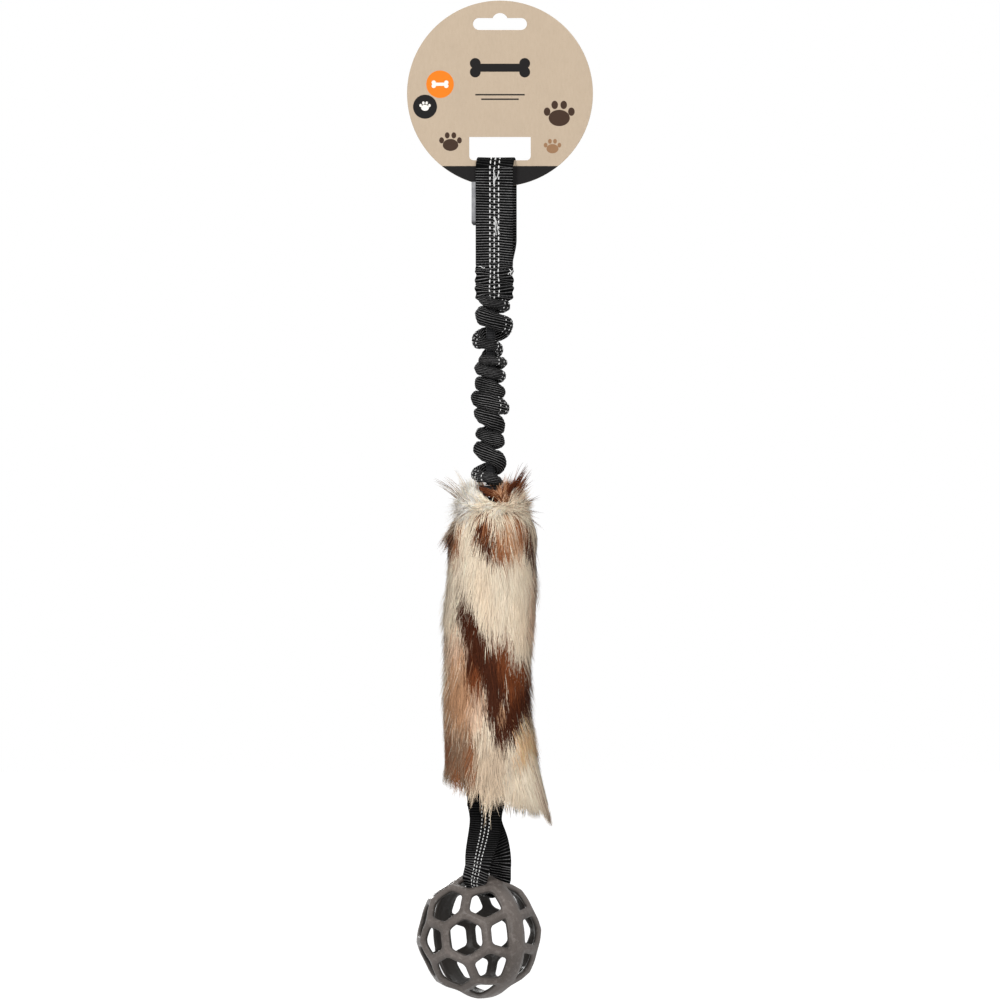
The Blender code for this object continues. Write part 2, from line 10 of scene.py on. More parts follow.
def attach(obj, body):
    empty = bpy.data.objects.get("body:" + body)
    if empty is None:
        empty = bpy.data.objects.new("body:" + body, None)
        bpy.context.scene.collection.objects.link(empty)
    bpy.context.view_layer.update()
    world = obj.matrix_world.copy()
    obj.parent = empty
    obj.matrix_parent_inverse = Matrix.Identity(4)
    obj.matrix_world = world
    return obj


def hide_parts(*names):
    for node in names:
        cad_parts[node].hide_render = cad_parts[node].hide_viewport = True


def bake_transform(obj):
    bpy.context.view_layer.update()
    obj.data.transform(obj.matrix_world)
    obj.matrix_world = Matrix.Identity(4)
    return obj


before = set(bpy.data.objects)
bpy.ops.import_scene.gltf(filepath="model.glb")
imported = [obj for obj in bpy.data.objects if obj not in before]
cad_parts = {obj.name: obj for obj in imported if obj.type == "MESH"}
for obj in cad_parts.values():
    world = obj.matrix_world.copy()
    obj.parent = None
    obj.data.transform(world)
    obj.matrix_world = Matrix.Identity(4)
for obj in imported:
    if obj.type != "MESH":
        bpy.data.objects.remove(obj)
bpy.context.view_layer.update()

toy = bpy.context.scene.collection

# Hang card
# A disc of uncoated kraft board, die cut with a peg slot and a window that the handle hangs in.
# The front is printed in black, orange and white, and the cut edge shows the raw board.
card_radius = 0.062
card_centre = -0.0537
card_thickness = 0.0009
card_bevel = 0.00012
slot_reach, slot_z, slot_radius = 0.014, -0.0073, 0.004
notch_z, notch_radius = -0.0053, 0.0053
window_half, window_bottom, window_top, window_corner = 0.0205, -0.0982, -0.0827, 0.003
foot_band_top = -0.1021
ink_edge = 0.00006
ink_black = (0.014, 0.013, 0.013, 1)
ink_orange = (0.78, 0.205, 0.018, 1)
ink_white = (0.86, 0.82, 0.76, 1)
ink_brown = (0.055, 0.032, 0.022, 1)
ink_tan = (0.30, 0.17, 0.09, 1)


def add(tree, kind, inputs=None, **settings):
    """A node with its settings, and with its inputs set to values or joined to sockets."""
    made = tree.nodes.new(kind)
    for name, value in settings.items():
        setattr(made, name, value)
    for key, value in (inputs or {}).items():
        if isinstance(value, bpy.types.NodeSocket):
            tree.links.new(value, made.inputs[key])
        else:
            made.inputs[key].default_value = value
    return made


def calc(tree, operation, *values):
    kind = "ShaderNodeMath"
    return add(tree, kind, dict(enumerate(values)), operation=operation).outputs[0]


def mix(tree, share, first, second):
    """Colour going from first to second."""
    made = add(tree, "ShaderNodeMix", {0: share, 6: first, 7: second}, data_type="RGBA")
    return made.outputs[2]


def ramp(tree, value, low, high, from_value=0.0, to_value=1.0):
    made = add(
        tree, "ShaderNodeMapRange",
        {"Value": value, "From Min": low, "From Max": high, "To Min": from_value, "To Max": to_value},
        interpolation_type="SMOOTHSTEP",
    )
    return made.outputs[0]


def material_named(name, roughness=0.8, **sockets):
    made = bpy.data.materials.new(name)
    made.use_nodes = True
    shader = made.node_tree.nodes["Principled BSDF"]
    shader.inputs["Roughness"].default_value = roughness
    for socket, value in sockets.items():
        shader.inputs[socket.replace("_", " ")].default_value = value
    return made, made.node_tree, shader


def relief(tree, shader, height, distance, strength=1.0):
    bump = add(tree, "ShaderNodeBump", {"Height": height, "Distance": distance, "Strength": strength})
    tree.links.new(bump.outputs[0], shader.inputs["Normal"])


def place_on(tree):
    """The place on the piece, in metres."""
    return add(tree, "ShaderNodeTexCoord").outputs["Object"]


def split(tree, vector):
    return add(tree, "ShaderNodeSeparateXYZ", {0: vector}).outputs


def clouds(tree, place, scale, detail):
    return add(tree, "ShaderNodeTexNoise", {"Vector": place, "Scale": scale, "Detail": detail}).outputs[0]


def card_print(tree, place):
    """Masks of what is printed on the front, each with its ink."""
    x_on, y_on, z_on = split(tree, place)
    flat = add(tree, "ShaderNodeCombineXYZ", {0: x_on, 2: z_on}).outputs[0]

    def disc(x, z, radius, stretch=(1, 1, 1)):
        scaled = add(tree, "ShaderNodeVectorMath", {0: flat, 1: stretch}, operation="MULTIPLY")
        centre = (x * stretch[0], 0, z * stretch[2])
        far = add(tree, "ShaderNodeVectorMath", {0: scaled.outputs[0], 1: centre}, operation="DISTANCE")
        return ramp(tree, far.outputs["Value"], radius - ink_edge, radius + ink_edge, 1, 0)

    def within(axis, middle, half):
        off = calc(tree, "ABSOLUTE", calc(tree, "SUBTRACT", axis, middle))
        return ramp(tree, off, half - ink_edge, half + ink_edge, 1, 0)

    def bar(x, z, half_width, half_height):
        return calc(tree, "MULTIPLY", within(x_on, x, half_width), within(z_on, z, half_height))

    def together(*masks):
        whole = masks[0]
        for mask in masks[1:]:
            whole = calc(tree, "MAXIMUM", whole, mask)
        return whole

    def bone(x, z, half, thick):
        ends = [disc(x + sx * half, z + sz * thick * 0.8, thick) for sx in (-1, 1) for sz in (-1, 1)]
        return together(bar(x, z, half, thick * 0.75), *ends)

    def paw(x, z, size):
        pad = disc(x, z, size, (0.85, 1, 1.1))
        toes = [
            disc(x + dx * size, z + dz * size, size * 0.42, (1.15, 1, 0.9))
            for dx, dz in ((-1.35, 0.7), (-0.5, 1.45), (0.5, 1.45), (1.35, 0.7))
        ]
        return together(pad, *toes)

    rules = [bar(0, -0.0545 - 0.003 * k, 0.0165 - 0.004 * k, 0.0005) for k in range(2)]
    prints = [
        # each shape, at its place across and down and with its sizes, and its ink
        (bone(0.0, -0.0365, 0.0165, 0.0036), ink_black),
        (together(*rules), ink_black),
        (disc(-0.0400, -0.0475, 0.0092), ink_orange),
        (disc(-0.0500, -0.0625, 0.0080), ink_black),
        (bone(-0.0400, -0.0475, 0.0042, 0.0014), ink_white),
        (paw(-0.0500, -0.0632, 0.0022), ink_white),
        (paw(0.0395, -0.0700, 0.0060), ink_brown),
        (paw(0.0350, -0.0905, 0.0034), ink_tan),
        (paw(-0.0330, -0.0880, 0.0044), ink_brown),
        (ramp(tree, z_on, foot_band_top - ink_edge / 3, foot_band_top + 0.0001, 1, 0), ink_black),
    ]
    face = -card_thickness / 2
    front = ramp(tree, y_on, face + 0.00001, face + 0.00005, 1, 0)
    return [(calc(tree, "MULTIPLY", mask, front), ink) for mask, ink in prints]


def kraft_board():
    """Pale brown board with pulled fibres and specks, and the print on its front."""
    made, tree, shader = material_named("kraft_board", 0.85, Specular_IOR_Level=0.12)
    place = place_on(tree)
    pulled = {"Vector": place, "Scale": (900, 900, 260), "Rotation": (0, 0.6, 0)}
    fibre = clouds(tree, add(tree, "ShaderNodeMapping", pulled).outputs[0], 1, 5)
    cloud = ramp(tree, clouds(tree, place, 60, 4), 0.35, 0.75, 0, 0.2)
    specks = add(tree, "ShaderNodeTexVoronoi", {"Vector": place, "Scale": 750}).outputs["Distance"]
    tone = mix(tree, fibre, (0.462, 0.364, 0.266, 1), (0.520, 0.418, 0.312, 1))
    tone = mix(tree, cloud, tone, (0.435, 0.344, 0.254, 1))
    tone = mix(tree, ramp(tree, specks, 0.06, 0.18, 0.35, 0), tone, (0.30, 0.20, 0.13, 1))
    for mask, ink in card_print(tree, place):
        tone = mix(tree, mask, tone, ink)
    tree.links.new(tone, shader.inputs["Base Color"])
    relief(tree, shader, fibre, 0.00008, 0.5)
    return made


def arc(x, y, radius, start, end, steps):
    angles = [radians(start + (end - start) * k / steps) for k in range(steps + 1)]
    return [(x + radius * cos(a), y + radius * sin(a)) for a in angles]


def placed(name, data):
    obj = bpy.data.objects.new(name, data)
    toy.objects.link(obj)
    return obj


def new_piece(name, mesh, material=None, body=None):
    if material:
        mesh.materials.clear()
        mesh.materials.append(material)
    obj = placed(name, mesh)
    if body:
        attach(obj, body)
    return obj


def settled(obj):
    """The evaluated object as a plain mesh."""
    bpy.context.view_layer.update()
    evaluated = obj.evaluated_get(bpy.context.evaluated_depsgraph_get())
    mesh = bpy.data.meshes.new_from_object(evaluated)
    bpy.data.objects.remove(obj, do_unlink=True)
    return mesh


def card_mesh():
    """The card's outline, slot and window as a filled curve with a little bevel, turned upright."""
    cut = card_bevel
    disc = arc(0, card_centre, card_radius - cut, 0, 358, 179)
    slot = arc(slot_reach, slot_z, slot_radius + cut, -90, 84, 10)
    slot += arc(0, notch_z, notch_radius + cut, 22, 158, 16)
    slot += arc(-slot_reach, slot_z, slot_radius + cut, 96, 270, 10)
    half, bottom, top = window_half + cut, window_bottom - cut, window_top + cut
    window = arc(half - window_corner, bottom + window_corner, window_corner, -90, 0, 6)
    window += [(half, top), (-half, top)]
    window += arc(-half + window_corner, bottom + window_corner, window_corner, 180, 270, 6)
    curve = bpy.data.curves.new("card_outline", "CURVE")
    curve.dimensions = "2D"
    curve.fill_mode = "BOTH"
    curve.extrude = card_thickness / 2 - card_bevel
    curve.bevel_depth = card_bevel
    curve.bevel_resolution = 1
    for outline in (disc, slot, window):
        spline = curve.splines.new("POLY")
        spline.points.add(len(outline) - 1)
        for point, (x, y) in zip(spline.points, outline):
            point.co = (x, y, 0, 1)
        spline.use_cyclic_u = True
    mesh = settled(placed("card_outline", curve))
    mesh.transform(Matrix.Rotation(pi / 2, 4, "X"))
    bm = bmesh.new()
    bm.from_mesh(mesh)
    bmesh.ops.remove_doubles(bm, verts=bm.verts[:], dist=1e-7)
    bmesh.ops.recalc_face_normals(bm, faces=bm.faces[:])
    bm.to_mesh(mesh)
    bm.free()
    return mesh


card = new_piece("hang_card", card_mesh(), kraft_board(), "header")
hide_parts("header_card")

# Handle
# One length of 25 mm ribbed polyester webbing with three broken lines of pale reflective yarn,
# folded over the card's bar and sewn to the bungee below. Its last 24 mm are puckered by the elastic.
web_width = 0.025
web_thickness = 0.0015
rib_pitch = 0.00176
handle_x = -0.0038
bar_top = -0.0982
seam_z = -0.1665
handle_end = -0.1908
fold_gap = 0.0105
ply_inner = 0.0020
dash_spacing = 0.0029
rib_height = 0.00022
face_columns = 22
level_across = np.array([1.0, 0, 0])


def smooth(value, low, high):
    t = np.clip((np.asarray(value, float) - low) / (high - low), 0, 1)
    return t * t * (3 - 2 * t)


def unit(vectors):
    return vectors / np.linalg.norm(vectors, axis=-1, keepdims=True)


def along_path(points):
    """Distance run along the points."""
    steps = np.linalg.norm(np.diff(points, axis=0), axis=1)
    return np.concatenate(([0.0], np.cumsum(steps)))


def resampled(points, step, *others):
    """Points, and what goes with them, at even steps along their path."""
    run = along_path(points)
    count = max(int(round(run[-1] / step)), 2)
    even = np.linspace(0, run[-1], count + 1)
    result = []
    for values in (points, *others):
        values = np.asarray(values, float)
        if values.ndim == 1:
            result.append(np.interp(even, run, values))
        else:
            result.append(np.stack([np.interp(even, run, column) for column in values.T], axis=1))
    return result


def mesh_from_rings(name, rings, uv, closed_ends=True):
    """Rings of points (rows, around, 3) joined into a closed skin, with a UV for each row and column."""
    rows, around = rings.shape[:2]
    index = np.arange(rows * around).reshape(rows, around)
    after = np.roll(index, -1, axis=1)
    quads = np.stack([index[:-1], after[:-1], after[1:], index[1:]], axis=-1).reshape(-1, 4)
    corner_uv = np.stack(
        [uv[:-1, :-1], uv[:-1, 1:], uv[1:, 1:], uv[1:, :-1]], axis=2
    ).reshape(-1, 2)
    faces = quads.tolist()
    if closed_ends:
        faces += [index[0, ::-1].tolist(), index[-1].tolist()]
        ends = np.concatenate([uv[0, :-1][::-1], uv[-1, :-1]])
        corner_uv = np.concatenate([corner_uv, ends])
    mesh = bpy.data.meshes.new(name)
    mesh.from_pydata(rings.reshape(-1, 3).tolist(), [], faces)
    layer = mesh.uv_layers.new(name="Weave")
    layer.data.foreach_set("uv", corner_uv.ravel())
    mesh.shade_smooth()
    bm = bmesh.new()
    bm.from_mesh(mesh)
    if bm.calc_volume(signed=True) < 0:
        bmesh.ops.reverse_faces(bm, faces=bm.faces[:])
        bm.to_mesh(mesh)
    bm.free()
    return mesh


def uv_grid(columns, rows):
    return np.stack(np.broadcast_arrays(columns[None], rows[:, None]), axis=-1)


def webbing_rings(centre, across, facing, width, thickness, ribs, lift=None, columns=face_columns):
    """Cross-sections of webbing: two faces with raised ribs across them, and rounded edges."""
    run = along_path(centre)
    side = thickness / 2
    share = np.linspace(-1, 1, columns)
    rounds = np.array([-60, -20, 20, 60]) * pi / 180
    half = np.asarray(width)[:, None] / 2 - side
    wave = 0.5 + 0.5 * np.cos(tau * run / ribs)
    wave = wave[:, None] ** 1.6 * rib_height
    lift = np.zeros((len(run), columns)) if lift is None else lift
    top_a, top_n = half * share, side - rib_height + wave + lift
    low_a, low_n = half * share[::-1], -side + rib_height - wave + lift[:, ::-1]
    right_a = half + side * np.cos(rounds[::-1])
    right_n = side * np.sin(rounds[::-1]) + lift[:, -1:] + 0 * half
    left_a = -half - side * np.cos(rounds)
    left_n = side * np.sin(rounds) + lift[:, :1] + 0 * half
    a = np.concatenate([top_a + 0 * top_n, right_a, low_a + 0 * low_n, left_a], axis=1)
    n = np.concatenate([top_n + 0 * top_a, right_n, low_n + 0 * low_a, left_n], axis=1)
    rings = centre[:, None] + a[..., None] * across[:, None] + n[..., None] * facing[:, None]
    first_ring = np.stack([np.append(a[0], a[0, 0]), np.append(n[0], n[0, 0])], axis=1)
    return rings, uv_grid(along_path(first_ring), run)


def lines_on_face(rings, facing, width, spacing, first, later):
    """Three lines along the webbing's front face, the middle one starting later, and their normals."""
    lines, normals = [], []
    rows = len(rings) - 2 * first - later
    every = np.arange(len(rings))
    for k in (-1, 0, 1):
        share = np.clip(spacing * k / (width / 2 - web_thickness / 2), -0.95, 0.95)
        column = (share + 1) / 2 * (face_columns - 1)
        low = np.floor(column).astype(int)
        part = (column - low)[:, None]
        line = rings[every, low] * (1 - part) + rings[every, low + 1] * part
        start = first if k else first + later
        lines.append((line + facing * 0.00006)[start:start + rows])
        normals.append(facing[start:start + rows])
    return lines, normals


def black_webbing():
    """Ribbed black webbing, with a painted highlight on the tops of its ribs, faded out over the bar, and
    painted shade where it lies under the pile.
    """
    made, tree, shader = material_named(
        "black_webbing", 0.65, Sheen_Weight=0.005, Sheen_Roughness=0.4, Specular_IOR_Level=0.02
    )
    uv = split(tree, add(tree, "ShaderNodeUVMap", uv_map="Weave").outputs[0])
    across = calc(tree, "MULTIPLY", uv[0], tau / 0.00055)
    along = calc(tree, "MULTIPLY", uv[1], tau / rib_pitch)
    yarn = calc(tree, "SINE", calc(tree, "ADD", across, calc(tree, "MULTIPLY", along, 0.5)))
    ridge = calc(tree, "COSINE", along)
    weave = calc(tree, "ADD", calc(tree, "MULTIPLY", yarn, 0.4), calc(tree, "MULTIPLY", ridge, 0.6))
    place = place_on(tree)
    height = split(tree, place)[2]
    # Shares of the painted rib highlight: random changes of strength, its fade over the bar, and painted
    # shade that holds it to a fifth between about 0.41 m and 0.56 m down, where the strap and loop lie in
    # the fur's shadow.
    shares = [
        ramp(tree, clouds(tree, place, 900, 3), 0.3, 0.6, 0.45, 1),
        ramp(tree, clouds(tree, place, 55, 4), 0.35, 0.6, 0.5, 1),
        ramp(tree, height, bar_top - 0.0075, bar_top - 0.0020, 1, 0.12),
        calc(tree, "MAXIMUM", ramp(tree, height, -0.42, -0.40), ramp(tree, height, -0.572, -0.548, 1, 0.2)),
    ]
    # Painted highlight: the tops of the ribs are coloured pale grey where the light would catch them, and
    # the grooves stay near black.
    light = ramp(tree, ridge, 0.5, 1.0)
    for share in shares:
        light = calc(tree, "MULTIPLY", light, share)
    tone = mix(tree, light, (0.0020, 0.0020, 0.0021, 1), (0.195, 0.191, 0.191, 1))
    tree.links.new(tone, shader.inputs["Base Color"])
    relief(tree, shader, weave, 0.00012, 0.8)
    return made


def yarn_material(name, colour, roughness=0.5):
    made, tree, shader = material_named(name, roughness, Sheen_Weight=0.04, Specular_IOR_Level=0.2)
    wave = {"Vector": place_on(tree), "Scale": 420, "Distortion": 3, "Detail": 2}
    twist = add(tree, "ShaderNodeTexWave", wave)
    dark = tuple(c * 0.55 for c in colour) + (1,)
    tree.links.new(mix(tree, twist.outputs[1], dark, (*colour, 1)), shader.inputs["Base Color"])
    relief(tree, shader, twist.outputs[1], 0.00006, 0.6)
    return made


def lines_tree(name, **inputs):
    """A geometry tree that takes lines as edges, and a named input for each size and material."""
    tree = bpy.data.node_groups.new(name, "GeometryNodeTree")
    tree.interface.new_socket("Geometry", in_out="INPUT", socket_type="NodeSocketGeometry")
    for title, kind in inputs.items():
        title = title.replace("_", " ")
        tree.interface.new_socket(title, in_out="INPUT", socket_type="NodeSocket" + kind)
    tree.interface.new_socket("Geometry", in_out="OUTPUT", socket_type="NodeSocketGeometry")
    given = add(tree, "NodeGroupInput").outputs
    line = add(tree, "GeometryNodeMeshToCurve", {0: given["Geometry"]})
    return tree, given, line.outputs[0]


def dressed_tree(tree, geometry, material):
    """The tree with its last nodes: real geometry, smooth faces and the material on them."""
    real = add(tree, "GeometryNodeRealizeInstances", {0: geometry})
    soft = add(tree, "GeometryNodeSetShadeSmooth", {0: real.outputs[0]})
    dressed = add(tree, "GeometryNodeSetMaterial", {0: soft.outputs[0], "Material": material})
    add(tree, "NodeGroupOutput", {0: dressed.outputs[0]})
    return tree


def dash_tree():
    """Short floats of pale yarn, at even steps along lines on the webbing."""
    tree, given, line = lines_tree(
        "pale_dashes", Period="Float", Dash_Length="Float", Dash_Width="Float", Dash_Height="Float",
        Yarn="Material",
    )
    steps = {"Curve": line, "Length": given["Period"]}
    spaced = add(tree, "GeometryNodeResampleCurve", steps, mode="LENGTH")
    facing = add(tree, "GeometryNodeInputNamedAttribute", {0: "facing"}, data_type="FLOAT_VECTOR")
    tangent = add(tree, "GeometryNodeInputTangent")
    turned = add(
        tree, "FunctionNodeAxesToRotation", {0: facing.outputs[0], 1: tangent.outputs[0]},
        primary_axis="Z", secondary_axis="X",
    )
    uneven = add(tree, "FunctionNodeRandomValue", {2: 0.8, 3: 1.1, "Seed": 4}, data_type="FLOAT")
    long = calc(tree, "MULTIPLY", given["Dash Length"], uneven.outputs[1])
    size = add(tree, "ShaderNodeCombineXYZ", {0: long, 1: given["Dash Width"], 2: given["Dash Height"]})
    float_yarn = add(tree, "GeometryNodeMeshUVSphere", {"Segments": 8, "Rings": 5, "Radius": 0.5})
    laid = {
        "Points": spaced.outputs[0], "Instance": float_yarn.outputs[0],
        "Rotation": turned.outputs[0], "Scale": size.outputs[0],
    }
    dashes_laid = add(tree, "GeometryNodeInstanceOnPoints", laid)
    return dressed_tree(tree, dashes_laid.outputs[0], given["Yarn"])


def with_tree(obj, tree, **inputs):
    """Runs a geometry tree on an object and returns the plain mesh that it makes."""
    modifier = obj.modifiers.new(tree.name, "NODES")
    modifier.node_group = tree
    keys = {s.name: s.identifier for s in tree.interface.items_tree if s.in_out == "INPUT"}
    for name, value in inputs.items():
        modifier[keys[name.replace("_", " ")]] = value
    return settled(obj)


def point_values(mesh, name, values):
    """A value, a vector or a colour for each point of a mesh, under a name."""
    size = 1 if values.ndim == 1 else values.shape[1]
    kind, field = {1: ("FLOAT", "value"), 3: ("FLOAT_VECTOR", "vector"), 4: ("FLOAT_COLOR", "color")}[size]
    layer = mesh.attributes.new(name, kind, "POINT")
    layer.data.foreach_set(field, values.ravel())


def lines_object(name, lines, attributes):
    """Polylines as edges, with vector attributes on their points."""
    verts = np.concatenate(lines)
    edges = []
    start = 0
    for line in lines:
        edges += [(start + k, start + k + 1) for k in range(len(line) - 1)]
        start += len(line)
    mesh = bpy.data.meshes.new(name)
    mesh.from_pydata(verts.tolist(), edges, [])
    for key, values in attributes.items():
        point_values(mesh, key, np.concatenate(values))
    return placed(name, mesh)


webbing = black_webbing()
pale_yarn = yarn_material("reflective_yarn", (0.90, 0.90, 0.89), 0.4)
dashes = dash_tree()


def webbing_piece(name, rings, uv, body=None):
    return new_piece(name, mesh_from_rings(name, rings, uv), webbing, body)


def dash_piece(name, marks, body, period, long, wide, high):
    """Dashes along lines on a face, as a piece of their own."""
    lines, normals = marks
    source = lines_object(name + "_lines", lines, {"facing": normals})
    sizes = {"Period": period, "Dash_Length": long, "Dash_Width": wide, "Dash_Height": high}
    return new_piece(name, with_tree(source, dashes, Yarn=pale_yarn, **sizes), None, body)


def handle_path():
    """Middle of the webbing: up the front, over the bar and down the back."""
    closed, opened = ply_inner + web_thickness / 2, (fold_gap + web_thickness) / 2
    fold_z = bar_top + 0.0004 - fold_gap / 2
    tucked = handle_end - 0.0020

    def offset(z):
        parted = closed + (opened - closed) * smooth(z, seam_z + 0.001, seam_z + 0.017)
        return parted - 0.0014 * smooth(-z, -handle_end, -tucked)

    rise = np.linspace(tucked, fold_z, 260)
    turn = np.linspace(0, pi, 60)[1:-1]
    y = np.concatenate([-offset(rise), -opened * np.cos(turn), offset(rise[::-1])])
    z = np.concatenate([rise, fold_z + opened * np.sin(turn), rise[::-1]])
    turned = np.concatenate([0 * rise, turn / pi, 0 * rise + 1])
    x = handle_x + 0.0025 * turned * smooth(z, seam_z, seam_z + 0.016)
    return np.stack([x, y, z], axis=1)


def frame_along(points, across):
    """Unit directions across a strip and out of its face."""
    ahead = unit(np.gradient(points, axis=0))
    across = unit(across - ahead * np.sum(across * ahead, axis=1, keepdims=True))
    return across, np.cross(across, ahead)


def handle_piece():
    centre = resampled(handle_path(), 0.00029)[0]
    across, facing = frame_along(centre, np.tile(level_across, (len(centre), 1)))
    outward = facing if facing[len(facing) // 3, 1] < 0 else -facing
    z = centre[:, 2]
    z_row = z[:, None]
    share = np.linspace(-1, 1, face_columns)[None]

    gathered = 1 - smooth(z, seam_z - 0.0045, seam_z + 0.0005)
    pucker = np.sin(tau * z_row / 0.0041 + 2.2 * share**2 + 1.1 * np.sin(3 * share))
    ruffle = np.sin(tau * z_row / 0.0079 + 4 * share) * (0.3 + np.abs(share))
    bulge = np.sin(pi * smooth(-z, 0.1665, 0.1925))[:, None] * (1 - 0.5 * share**2)
    lift = gathered[:, None] * (0.00042 * pucker + 0.00035 * ruffle + 0.0007 * bulge)
    edge = 0.5 * np.sin(tau * z / 0.0062) + 0.5 * np.sin(tau * z / 0.0037 + 1)
    width = web_width * (1 + gathered * (0.012 + 0.050 * edge))
    width = width - 0.0085 * smooth(-z, 0.1880, 0.1929) ** 2
    rings, uv = webbing_rings(centre, across, outward, width, web_thickness, rib_pitch, lift)

    beside = (rings[..., 0] - handle_x) / (web_width / 2)
    bow = 0.0010 * np.sin(tau * z / 0.0093)[:, None] * (beside**2 - 0.3)
    bow += 0.0005 * np.sin(3.4 * beside + z_row * 520)
    rings[..., 2] += gathered[:, None] * smooth(-z, 0.1672, 0.1700)[:, None] * bow
    sag = 0.0009 * np.maximum(beside, 0) + 0.0002 * np.sin(2.5 * beside + z_row * 90)
    sag = sag * (outward[:, 1:2] < 0)
    rings[..., 2] -= (1 - gathered[:, None]) * smooth(-z, 0.1060, 0.1150)[:, None] * sag
    piece = webbing_piece("handle_webbing", rings, uv, "handle")
    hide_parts("handle_loop")
    spacing = dash_spacing * (1 + 0.12 * gathered * np.sin(tau * z / 0.021))
    marks = lines_on_face(rings, outward, width, spacing, 5, 6)
    dash_piece("handle_dashes", marks, "handle", 0.00377, 0.0027, 0.00105, 0.00075)


handle_piece()

# Side label
# A folded tag of grey woven tape, caught behind the front ply on its left edge. Its folded end,
# at the bottom, is darkened with painted shade.
label_top, label_foot = -0.1127, -0.1417
label_left, label_right = -0.0190, -0.0100


def label_material():
    made, tree, shader = material_named("woven_label", 0.85, Sheen_Weight=0.2)
    place = place_on(tree)
    axes = split(tree, place)
    warp = calc(tree, "SINE", calc(tree, "MULTIPLY", axes[0], tau / 0.0005))
    weft = calc(tree, "SINE", calc(tree, "MULTIPLY", axes[2], tau / 0.0007))
    cloth = calc(tree, "MULTIPLY", warp, weft)
    fade = ramp(tree, clouds(tree, place, 260, 3), 0.4, 0.7, 0, 0.4)
    # Painted shade: the folded end at the bottom goes near black.
    low = ramp(tree, axes[2], label_foot + 0.0012, label_foot + 0.0042, 1, 0)
    tone = mix(tree, ramp(tree, cloth, -1, 1), (0.14, 0.14, 0.15, 1), (0.33, 0.33, 0.34, 1))
    tone = mix(tree, fade, tone, (0.42, 0.42, 0.42, 1))
    tone = mix(tree, low, tone, (0.03, 0.03, 0.032, 1))
    tree.links.new(tone, shader.inputs["Base Color"])
    relief(tree, shader, cloth, 0.00008, 0.7)
    return made


def label_mesh():
    z = np.linspace(label_foot, label_top, 60)
    left = label_left + 0.0011 * (1 - smooth(z, label_foot, label_foot + 0.0022)) ** 2
    centre = np.stack([(left + label_right) / 2, -0.00465 + 0.0002 * np.sin(z * 300), z], axis=1)
    across = np.tile(level_across, (len(z), 1))
    facing = np.tile([0.0, -1.0, 0], (len(z), 1))
    rings, uv = webbing_rings(
        centre, across, facing, label_right - left, thickness=0.00075, ribs=0.0009, columns=14
    )
    return mesh_from_rings("side_label_tape", rings, uv)


label = new_piece("side_label_tape", label_mesh(), label_material(), "handle")
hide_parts("side_label")

# Seams and loose thread
# Black zigzag seams hold the plies to the flat sewn end of the elastic, and a few snagged ends of
# the pale yarn stand off the webbing.
seam_rows = (-0.1665, -0.1710, -0.1884)
seam_half = 0.0107
stitches_a_row = 18


def tube_tree():
    """Round thread along lines, thinner where their thickness says."""
    tree, given, line = lines_tree("thread_along_lines", Diameter="Float", Sides="Int", Thread="Material")
    taper = add(tree, "GeometryNodeInputNamedAttribute", {0: "taper"}, data_type="FLOAT")
    half = calc(tree, "MULTIPLY", given["Diameter"], 0.5)
    ring = add(tree, "GeometryNodeCurvePrimitiveCircle", {"Resolution": given["Sides"], "Radius": half})
    swept = {0: line, 1: ring.outputs[0], "Scale": taper.outputs[0], "Fill Caps": True}
    thread = add(tree, "GeometryNodeCurveToMesh", swept)
    return dressed_tree(tree, thread.outputs[0], given["Thread"])


thread_tree = tube_tree()
black_thread = yarn_material("black_thread", (0.03, 0.03, 0.032), 0.5)


def threads(name, lines, diameter, material, body, sides=6):
    source = lines_object(name + "_lines", lines, {"taper": [np.ones(len(line)) for line in lines]})
    mesh = with_tree(source, thread_tree, Diameter=diameter, Sides=sides, Thread=material)
    return new_piece(name, mesh, None, body)


def zigzag(z, side):
    """One row of zigzag stitches across a ply, each dipping into the webbing at its ends."""
    x = np.linspace(-seam_half, seam_half, stitches_a_row * 4 + 1)
    stitch = np.arange(len(x)) / 4
    swing = np.abs((stitch % 2) - 1)
    dip = np.abs(np.sin(stitch * pi))
    y = side * (ply_inner + web_thickness + 0.00012 + 0.0003 * dip)
    return np.stack([handle_x + x, y, z - 0.0013 * swing], axis=1)


for name, side in (("front_seam_thread", -1), ("back_seam_thread", 1)):
    rows = [zigzag(z, side) for z in seam_rows]
    seam = threads(name + "_stitches", rows, 0.0005, black_thread, "handle")
    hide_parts(name)


def curl(start, way, rise, length, bends):
    """A loose end that leaves the webbing and comes back to it."""
    t = np.linspace(0, 1, 14)[:, None]
    way = unit(np.array(way, float))
    side = np.cross(way, [0, 1, 0])
    bow = np.sin(pi * t) * rise
    return np.array(start) + way * length * t + side * bends * np.sin(tau * t) + np.array([0, -1, 0]) * bow


loose = [
    # start, the way it runs, how far it stands off, its length, and how far it bends aside
    curl((-0.0041, -0.0070, -0.1146), (-0.02, 0, 1), 0.0009, 0.0098, 0.0002),
    curl((-0.0036, -0.0070, -0.1146), (0.03, 0, 1), 0.0011, 0.0060, 0.0003),
    curl((-0.0038, -0.0070, -0.1140), (0.36, 0, 1), 0.0009, 0.0078, 0.0003),
    curl((-0.0036, -0.0069, -0.1365), (0.10, 0, -1), 0.0007, 0.0118, 0.0002),
    curl((-0.0036, -0.0069, -0.1365), (0.30, 0, -1), 0.0009, 0.0114, 0.0003),
    curl((-0.0142, -0.0046, -0.1692), (1, 0, -0.2), 0.0009, 0.0042, 0.0004),
    curl((0.0062, -0.0048, -0.1712), (0.5, 0, -1), 0.0012, 0.0046, 0.0006),
    curl((0.0084, -0.0048, -0.1718), (-1, 0, -0.9), 0.0010, 0.0040, 0.0004),
]
